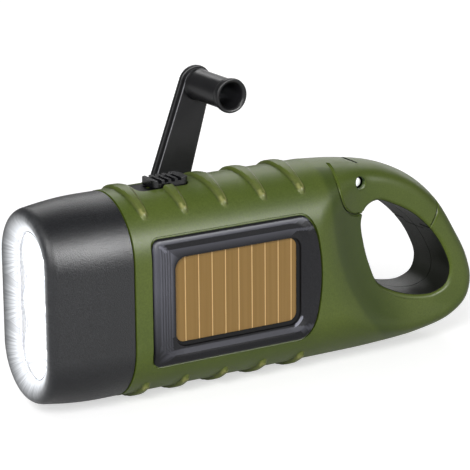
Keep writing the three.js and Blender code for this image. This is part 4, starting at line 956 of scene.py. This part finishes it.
def panel_frame():
    """Rings from the frame's hidden back edge over its flange and slope to the window."""
    rings = []

    def add(ring, y):
        x, z = ring
        rings.append(np.stack([x, 0 * x - y, z], -1))

    outer = frame_ring(frame_outline(0))
    add(outer, FRAME_BACK)
    add(outer, flank(outer, PROUD - FLANGE_ROUND))
    for sunk, inset in list(quarter(5))[1:]:
        ring = frame_ring(frame_outline(-FLANGE_ROUND * inset))
        add(ring, flank(ring, PROUD - FLANGE_ROUND * sunk))
    for ring, drop in (
        (frame_ring(frame_outline(-1.0)), 0),
        (around(*(SLOPE_TOP + 0.3), True), 0.03),
        (around(*SLOPE_TOP, True), 0.1),
    ):
        add(ring, flank(ring, PROUD - drop))
    top = flank(ring, PROUD - drop)
    for share in np.linspace(0, 0.97, 18)[1:]:
        ring = around(*(SLOPE_TOP + (SLOPE_FOOT - SLOPE_TOP) * share), True)
        part = share * SLATS % 1
        stepped = (share * SLATS - part + min(part * 0.25, 1) + max(part - 0.75, 0) * 3) / SLATS
        fall = np.where(ring[0] < CELL_LEFT - 0.9, stepped, share)
        add(ring, top + (FRAME_FLOOR - top) * fall)
    add(around(*SLOPE_FOOT, True), FRAME_FLOOR)
    for sizes, depth in GROOVE:
        add(around(*sizes), FRAME_FLOOR - depth)
    add(around(0, 0, 0, 0, 2.4), FRAME_BACK)
    obj = loft("solar_frame_skin", rings, endless=True)
    mark_frame(obj)
    finish_piece(obj, TRIM, "solar_frame", angle=24)


def mark_frame(obj):
    """Stores where the frame gets painted shade beside the cell, and where its edges get painted
    highlights.
    """
    x, y, z = stations_of(obj).T
    # Painted shade deep in the groove beside the cell
    deep = np.clip((FRAME_FLOOR - 0.1 + y) / 0.2, 0, 1)
    near = (np.abs(z) < CELL_TOP + 2) & (np.abs(x - CELL_X) < CELL_LENGTH / 2 + 2)
    mark(obj, "shade", np.where(near, deep, 0))
    left, up, down = CELL_LEFT - x, z - CELL_TOP, -CELL_TOP - z
    high = np.clip((z + 14) / 18, 0, 1)
    waves = 0.5 + 0.5 * np.cos((left - 1.5) / 3.8 * 2 * math.pi * SLATS)
    corner = np.hypot(x - CELL_RIGHT + 2.0, z + CELL_TOP - 2.0)
    # Painted highlights, each with its place and strength
    painted_highlights = (
        # The slats of the slope on the left, the flange, and the slope's mitre
        ((left > 1.4) & (left < 5.4) & (up < left - 1.6 + 2) & (down < 3.7),
         (0.2 + 0.34 * waves) * (0.35 + 0.65 * high)),
        ((left > 5.3) | (up > 4.3), 0.36 * high),
        ((np.abs(up - left + 0.9) < 0.55) & (up > 2.2) & (up < 4.4) & (left > 1), 0.8),
        # The slope's foot above and below the cell, and its lower right corner
        ((up > 1.9) & (up < 2.7) & (left < 2), 0.26),
        ((down > 1.8) & (down < 3.2) & (left < 3), 0.24),
        ((corner > 3.3) & (corner < 4.1) & (x > CELL_RIGHT - 0.7) & (z < -11), 1.6),
    )
    lit = np.maximum.reduce([np.where(where, value, 0) for where, value in painted_highlights])
    mark(obj, "lit", np.where(y < -FRAME_FLOOR + 0.1, lit, 0))


def panel_cell():
    face = -(FRAME_BACK - GAP / 2)
    outline = rounded(CELL_X, 0, CELL_LENGTH + 2.4, CELL_HEIGHT + 2.4, 4.2, 12)
    obj = prism("solar_cell_film", outline, face, face + 0.8)
    finish_piece(obj, CELL, "solar_cell")


# Head

HEAD_SWELL, FRONT_ROUND, RIM_FLAT = 18.0, 2.4, 2.72
WINDOW = [8.0, 20.5]
DISH = ((0.35, 0.16), (0.95, 0.5), (1.45, 0.8), (1.68, 0.92), (1.82, 0.98), (1.95, 1))
CUP, CUP_NECK, CUP_DEPTH = 7.6, 2.8, 9
LED_RADIUS, LED_HEIGHT, LED_BASE = 2.45, 6, 14.3


def head_size(x):
    """Half width and half height of the head, that far behind the rim."""
    share = math.sin(math.pi / 2 * min(x / HEAD_SWELL, 1))
    return [HALF_WIDTH - (2.6 - 2.5 * share), HALF_HEIGHT - (1.9 - 1.8 * share)]


def less(size, inset):
    return [v - inset for v in size]


def stadiums(name, rings, **options):
    """Upright stadiums of (x, (half width, half height)), skinned in order."""
    rows = []
    for x, (a, b) in rings:
        ring = []
        for middle, start in ((b - a, 0), (a - b, 180)):
            ring += [(RIM + x, y, z) for y, z in arc(0, middle, a, start, 180, 40)]
        rows.append(ring)
    return loft(name, rows, **options)


def bezel():
    """From the head's back edge over its outside, rim and dish, and back along the inside."""
    end = HEAD - RIM - GAP
    front, seat = head_size(0), [WINDOW[0] + 2.0, WINDOW[1] + 1.7]
    rings = [(end, less(head_size(end), 0.25)), (end - 0.25, head_size(end))]
    rings += [(x, head_size(x)) for x in np.linspace(end - 0.8, 4.8, 12)]
    for sunk, inset in quarter(14):
        x = FRONT_ROUND * sunk
        rings.append((x, less(head_size(x), FRONT_ROUND * inset * 0.6)))
    rings += [(0, less(front, 2.2)), (0.02, less(front, 2.5)), (0.1, less(front, RIM_FLAT))]
    for x, share in DISH:
        size = [v - RIM_FLAT + (w - v + RIM_FLAT) * share for v, w in zip(front, WINDOW)]
        rings.append((x, size))
    shroud, inner = less(seat, -1.2), less(head_size(16), 1.9)
    rings += [
        (3.2, WINDOW), (3.2, seat), (6.9, seat), (6.9, shroud), (3.2, shroud),
        (3.2, less(head_size(3.2), 3.1)), (8, less(head_size(8), 1.9)), (16, inner), (end, inner),
    ]
    obj = stadiums("head_bezel_skin", rings, endless=True)
    finish_piece(obj, HEAD_PAINT, "head_bezel", angle=30)


def lens():
    panel, flange = [7.7, 20.2], [9.7, 21.9]
    rings = [(2, less(panel, 0.3)), (2.08, less(panel, 0.1)), (2.25, panel), (3.5, panel)]
    obj = stadiums("front_lens_skin", rings + [(3.5, flange), (4.7, flange)])
    finish_piece(obj, LENS, "front_lens")


def turned(profile, base, z, sides):
    """Rings about an axis along X, from a profile of (radius, distance ahead of the base)."""
    return [[(base - x, *yz) for yz in circle(0, z, r, sides)] for r, x in profile]


def reflector():
    size, back = [9.7, 21.9], 14.0
    body = stadiums("reflector_skin", [(5.0, size), (back, size)])
    bowl = [
        (CUP_NECK + (CUP - CUP_NECK) * math.sqrt(share), CUP_DEPTH * (0.12 + 0.88 * share))
        for share in np.linspace(0, 1, 17)]
    profile = [(0, -6), (CUP_NECK, -6), *bowl, (CUP, 15), (0, 15)]
    for z in (LIGHT_PITCH, 0, -LIGHT_PITCH):
        cut(body, loft("cup", turned(profile, RIM + back, z, 72), cap=False))
    finish_piece(body, MIRROR, "reflector")


def led(word, z):
    profile = [(0.001, 0), (2.7, 0), (2.7, 0.9), (LED_RADIUS, 0.95)]
    dome = arc(0, LED_HEIGHT - LED_RADIUS, LED_RADIUS, 0, 90, 12)
    profile += [(max(radius, 0.001), height) for radius, height in dome]
    obj = loft("led_%s_skin" % word, turned(profile, RIM + LED_BASE - 0.1, z, 40))
    finish_piece(obj, LED, "led_" + word)


# Crank

TILT = math.radians(18)
REACH = 45.8  # from the hub to the knob
ARM_INNER, ARM_MIDDLE, ARM_OUTER = 17.7, 18.9, 20.1
ARM_ROOT, ARM_TIP, BARREL, BARREL_END = 6.85, 5.1, 1.88, 1.6
KNOB_BASE, KNOB_LENGTH, KNOB_FLOOR, KNOB_HOLE = 17.4, 17.8, 4, 1.65
# Radii of the knob and their distances from its base, and then from its end
KNOB_NECK = (
    (KNOB_HOLE, 0), (4.15, 0), (4.45, 0.08), (4.53, 0.25), (4.45, 0.5), (4.25, 0.75), (4.25, 2),
)
KNOB_RIM = (
    (4.25, 5.5), (4.25, 3.1), (4.3, 2.6), (4.45, 2.2), (4.6, 1.9), (4.73, 1.4), (4.8, 0.8),
    (4.78, 0.4), (4.7, 0.14), (4.54, 0.02), (4.34, 0), (4.1, 0.05), (3.85, 0.22), (3.6, 0.5),
    (3.45, 0.85), (3.4, 1.3),
)
KNOB_BOTTOM = ((3.4, KNOB_FLOOR + 0.1), (3.36, KNOB_FLOOR), (KNOB_HOLE, KNOB_FLOOR))


def crank_place(points):
    """From the crank's own frame (arm along Z) to stations."""
    c, s = math.cos(TILT), math.sin(TILT)
    x, y, z = np.array(points, float).T
    return np.stack([HUB_X + c * x + s * z, y, HUB_Z - s * x + c * z], -1)


def arm_outline(inset):
    base, tip, start = ARM_ROOT - inset, ARM_TIP - inset, 1 + inset
    shares = np.linspace(0.1, 0.9, 9)
    points = [(-base, start), (-base + 0.02, start), (base - 0.02, start), (base, start)]
    points += [(base + (tip - base) * t, start + (REACH - start) * t) for t in shares]
    points += arc(0, REACH, tip, 0, 180, 40)
    return points + [(-tip + (tip - base) * t, REACH + (start - REACH) * t) for t in shares]


def plate(name, inset, low, high, rounding):
    """A plate of the arm's outline, less the inset, whose two faces have round edges."""
    rings = [(inset + rounding * a, low + rounding * b) for a, b in quarter(4)]
    rings += [(inset + rounding * b, high - rounding * a) for a, b in quarter(4)]
    return loft(name, [crank_place([(x, y, z) for x, z in arm_outline(i)]) for i, y in rings])


def join_meshes(target, *others):
    work = bmesh.new()
    for obj in (target, *others):
        work.from_mesh(obj.data)
    work.to_mesh(target.data)
    work.free()
    for obj in others:
        bpy.data.objects.remove(obj)


def crank_arm():
    arm = plate("crank_arm_skin", 0, ARM_MIDDLE - 0.2, ARM_OUTER, 0.45)
    raised = plate("raised", 0.9, ARM_INNER, ARM_MIDDLE + 0.2, 0.3)
    ends = [(ARM_ROOT, BARREL_END), (ARM_ROOT - 0.3, BARREL)]
    rings = [
        crank_place([(x, *yz) for yz in circle(ARM_MIDDLE, 0, r, 48)])
        for x, r in [(-x, r) for x, r in ends] + ends[::-1]]
    edge, lip = len(arm.data.vertices), len(raised.data.vertices) // 10
    join_meshes(arm, raised, loft("barrel", rings))
    # Painted highlight along the raised lip's edge
    lit = np.zeros(len(arm.data.vertices))
    count = len(arm_outline(0))
    for ring, value in ((1, 0.35), (2, 0.75), (3, 0.35)):
        start = edge + ring * lip
        lit[start + int(count * 0.35):start + count] = value
    mark(arm, "lit", lit)
    finish_piece(arm, ARM, "crank_arm", "arm", angle=40)


def crank_lathe(name, profile, sides=80):
    """Turned about the knob's axis, from a profile of (radius, y)."""
    rings = [[(x, y, z) for x, z in circle(0, REACH, r, sides)] for r, y in profile]
    return loft(name, [crank_place(ring) for ring in rings], endless=profile[0][0] > 0.01)


def knob():
    end = KNOB_BASE - KNOB_LENGTH
    profile = [(r, KNOB_BASE - y) for r, y in KNOB_NECK] + [(r, end + y) for r, y in KNOB_RIM]
    obj = crank_lathe("knob_skin", profile + [(r, KNOB_BASE - y) for r, y in KNOB_BOTTOM])
    finish_piece(obj, BLACK, "knob", "knob", angle=40)


def knob_screw():
    floor = KNOB_BASE - KNOB_FLOOR - GAP
    head = floor - 1.5
    profile = [(0.001, head + 0.02), (2.0, head), (2.5, head + 0.18), (2.7, head + 0.55)]
    profile += [(2.7, floor), (1.5, floor), (1.5, ARM_OUTER), (0.001, ARM_OUTER)]
    obj = crank_lathe("knob_screw_skin", profile, 64)
    for a, b in ((1.7, 0.42), (0.42, 1.7)):
        slot = oblong(-a, a, REACH - b, REACH + b)
        ends = [crank_place([(x, y, z) for x, z in slot]) for y in (head - 2, head + 0.8)]
        cut(obj, extrude("slot", *ends))
    finish_piece(obj, STEEL, "knob_screw", "arm", angle=40)


# Carried-over nodes

def dress(paint, *names, bevel=0.0):
    for name in names:
        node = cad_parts[name]
        node.data.materials.clear()
        node.data.materials.append(paint.material)
        if bevel:
            weld = node.modifiers.new("weld", "WELD")
            weld.merge_threshold = 1e-6
            edge = node.modifiers.new("edge", "BEVEL")
            edge.width = bevel * MM
            edge.segments = 2
            edge.limit_method = "ANGLE"
            edge.angle_limit = math.radians(40)
            edge.harden_normals = True


for word, side in (("right", 1), ("left", -1)):
    for build in (shell, gate_half, liners):
        build(word, side)
panel_frame()
panel_cell()
bezel()
lens()
reflector()
for word, height in (("top", LIGHT_PITCH), ("middle", 0), ("bottom", -LIGHT_PITCH)):
    led(word, height)
crank_arm()
knob()
knob_screw()
dress(BLACK, "crank_hub", bevel=0.22)
dress(GLOSSY, "switch_slider", bevel=0.22)
dress(PLATE, "switch_plate", "switch_body")
for paint, stem, count, bevel in (
    (STEEL, "housing_screw", 5, 0.12), (STEEL, "board_screw", 4, 0.12),
    (STEEL, "plate_screw", 4, 0.12), (COPPER, "stator_coil", 6, 0),
):
    dress(paint, *("%s_%d" % (stem, i + 1) for i in range(count)), bevel=bevel)
dress(STEEL, "hinge_pin", "idler_shaft", "rotor_shaft", "rotor_magnet", "stator", "gate_spring")
dress(PIN, "gate_pin")
dress(NYLON, "crank_gear", "idler_gear", "rotor_pinion", "gear_plate")
dress(BOARD, "led_board", "main_board")
dress(SLEEVE, "battery_pack")


# Floor, light and camera

def stage_floor():
    """A plain pale floor that the camera and glass see as white, and gloss sees with painted
    dimming far in front and a painted shadow close to the object.
    """
    mesh = bpy.data.meshes.new("floor")
    size, level = 6.0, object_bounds()[0][2] - 0.0002
    corners = [(x, y, level) for x, y in oblong(-size, size, -size, size)]
    mesh.from_pydata(corners, [], [(0, 1, 2, 3)])
    floor = bpy.data.objects.new("floor", mesh)
    bpy.context.scene.collection.objects.link(floor)
    paint = Paint("floor_white", 0.9)
    tone = paint.ramp(paint.noise(3), (0.6, 0.6, 0.6, 1), (0.62, 0.62, 0.62, 1))
    paint.set("Base Color", tone)
    rays = paint.node("LightPath")
    camera_ray, glossy_ray, transmission_ray = (
        paint.field(rays, "Is %s Ray" % kind) for kind in ("Camera", "Glossy", "Transmission"))
    y = paint.axes()[1]
    # In reflections the floor is painted dimmer far in front of the object, and dimmer again, as a
    # painted shadow, close in front of it and behind
    shown = paint.span(y, -0.16, -0.07, 0.45, 1.0) * paint.span(y, -0.05, -0.022, 1.0, 0.25)
    seen = camera_ray + (glossy_ray * shown + transmission_ray)
    paint.glow(WHITE, seen * 0.6)
    mesh.materials.append(paint.material)


def softbox(name, place, size, power, target=(0.07, 0, 0), gloss_only=False):
    light = bpy.data.lights.new(name, "AREA")
    light.shape = "RECTANGLE"
    light.size, light.size_y = size
    light.energy = power
    obj = bpy.data.objects.new(name, light)
    obj.location = place
    obj.visible_diffuse = not gloss_only
    aim = Vector(target) - Vector(place)
    obj.rotation_euler = aim.to_track_quat("-Z", "Y").to_euler()
    bpy.context.scene.collection.objects.link(obj)


def camera():
    """A camera fitted to the photograph."""
    photo_width, focal_pixels = 470, 2499.6
    data = bpy.data.cameras.new("camera")
    data.sensor_width = 36
    data.lens = 36 * focal_pixels / photo_width
    data.clip_start, data.clip_end = 0.01, 20
    obj = bpy.data.objects.new("camera", data)
    place = Vector((-0.27890, -0.56490, 0.19654))
    right = Vector((0.854726, -0.519026, -0.007419))
    up = Vector((0.147274, 0.228774, 0.962275))
    turn = Matrix((right, up, right.cross(up))).transposed().to_4x4()
    obj.matrix_world = Matrix.Translation(place) @ turn
    bpy.context.scene.collection.objects.link(obj)
    bpy.context.scene.camera = obj


stage_floor()
camera()
softbox("key", (-0.8, -0.85, 0.75), (0.7, 0.7), 19)
softbox("top", (-0.5, 0.15, 1.0), (0.8, 0.6), 1.2)
softbox("back", (0.65, 0.9, 0.8), (0.9, 0.5), 5)
softbox("rim", (1.05, 0.85, 0.26), (0.8, 0.3), 1.6, gloss_only=True)
softbox("side", (0.36, -1.06, 0.54), (0.9, 0.36), 30, (0.05, 0, 0), gloss_only=True)
world = bpy.data.worlds.new("studio")
world.use_nodes = True
background = world.node_tree.nodes["Background"]
background.inputs["Color"].default_value = WHITE
background.inputs["Strength"].default_value = 0.15
bpy.context.scene.world = world
bpy.context.scene.view_settings.view_transform = "Standard"
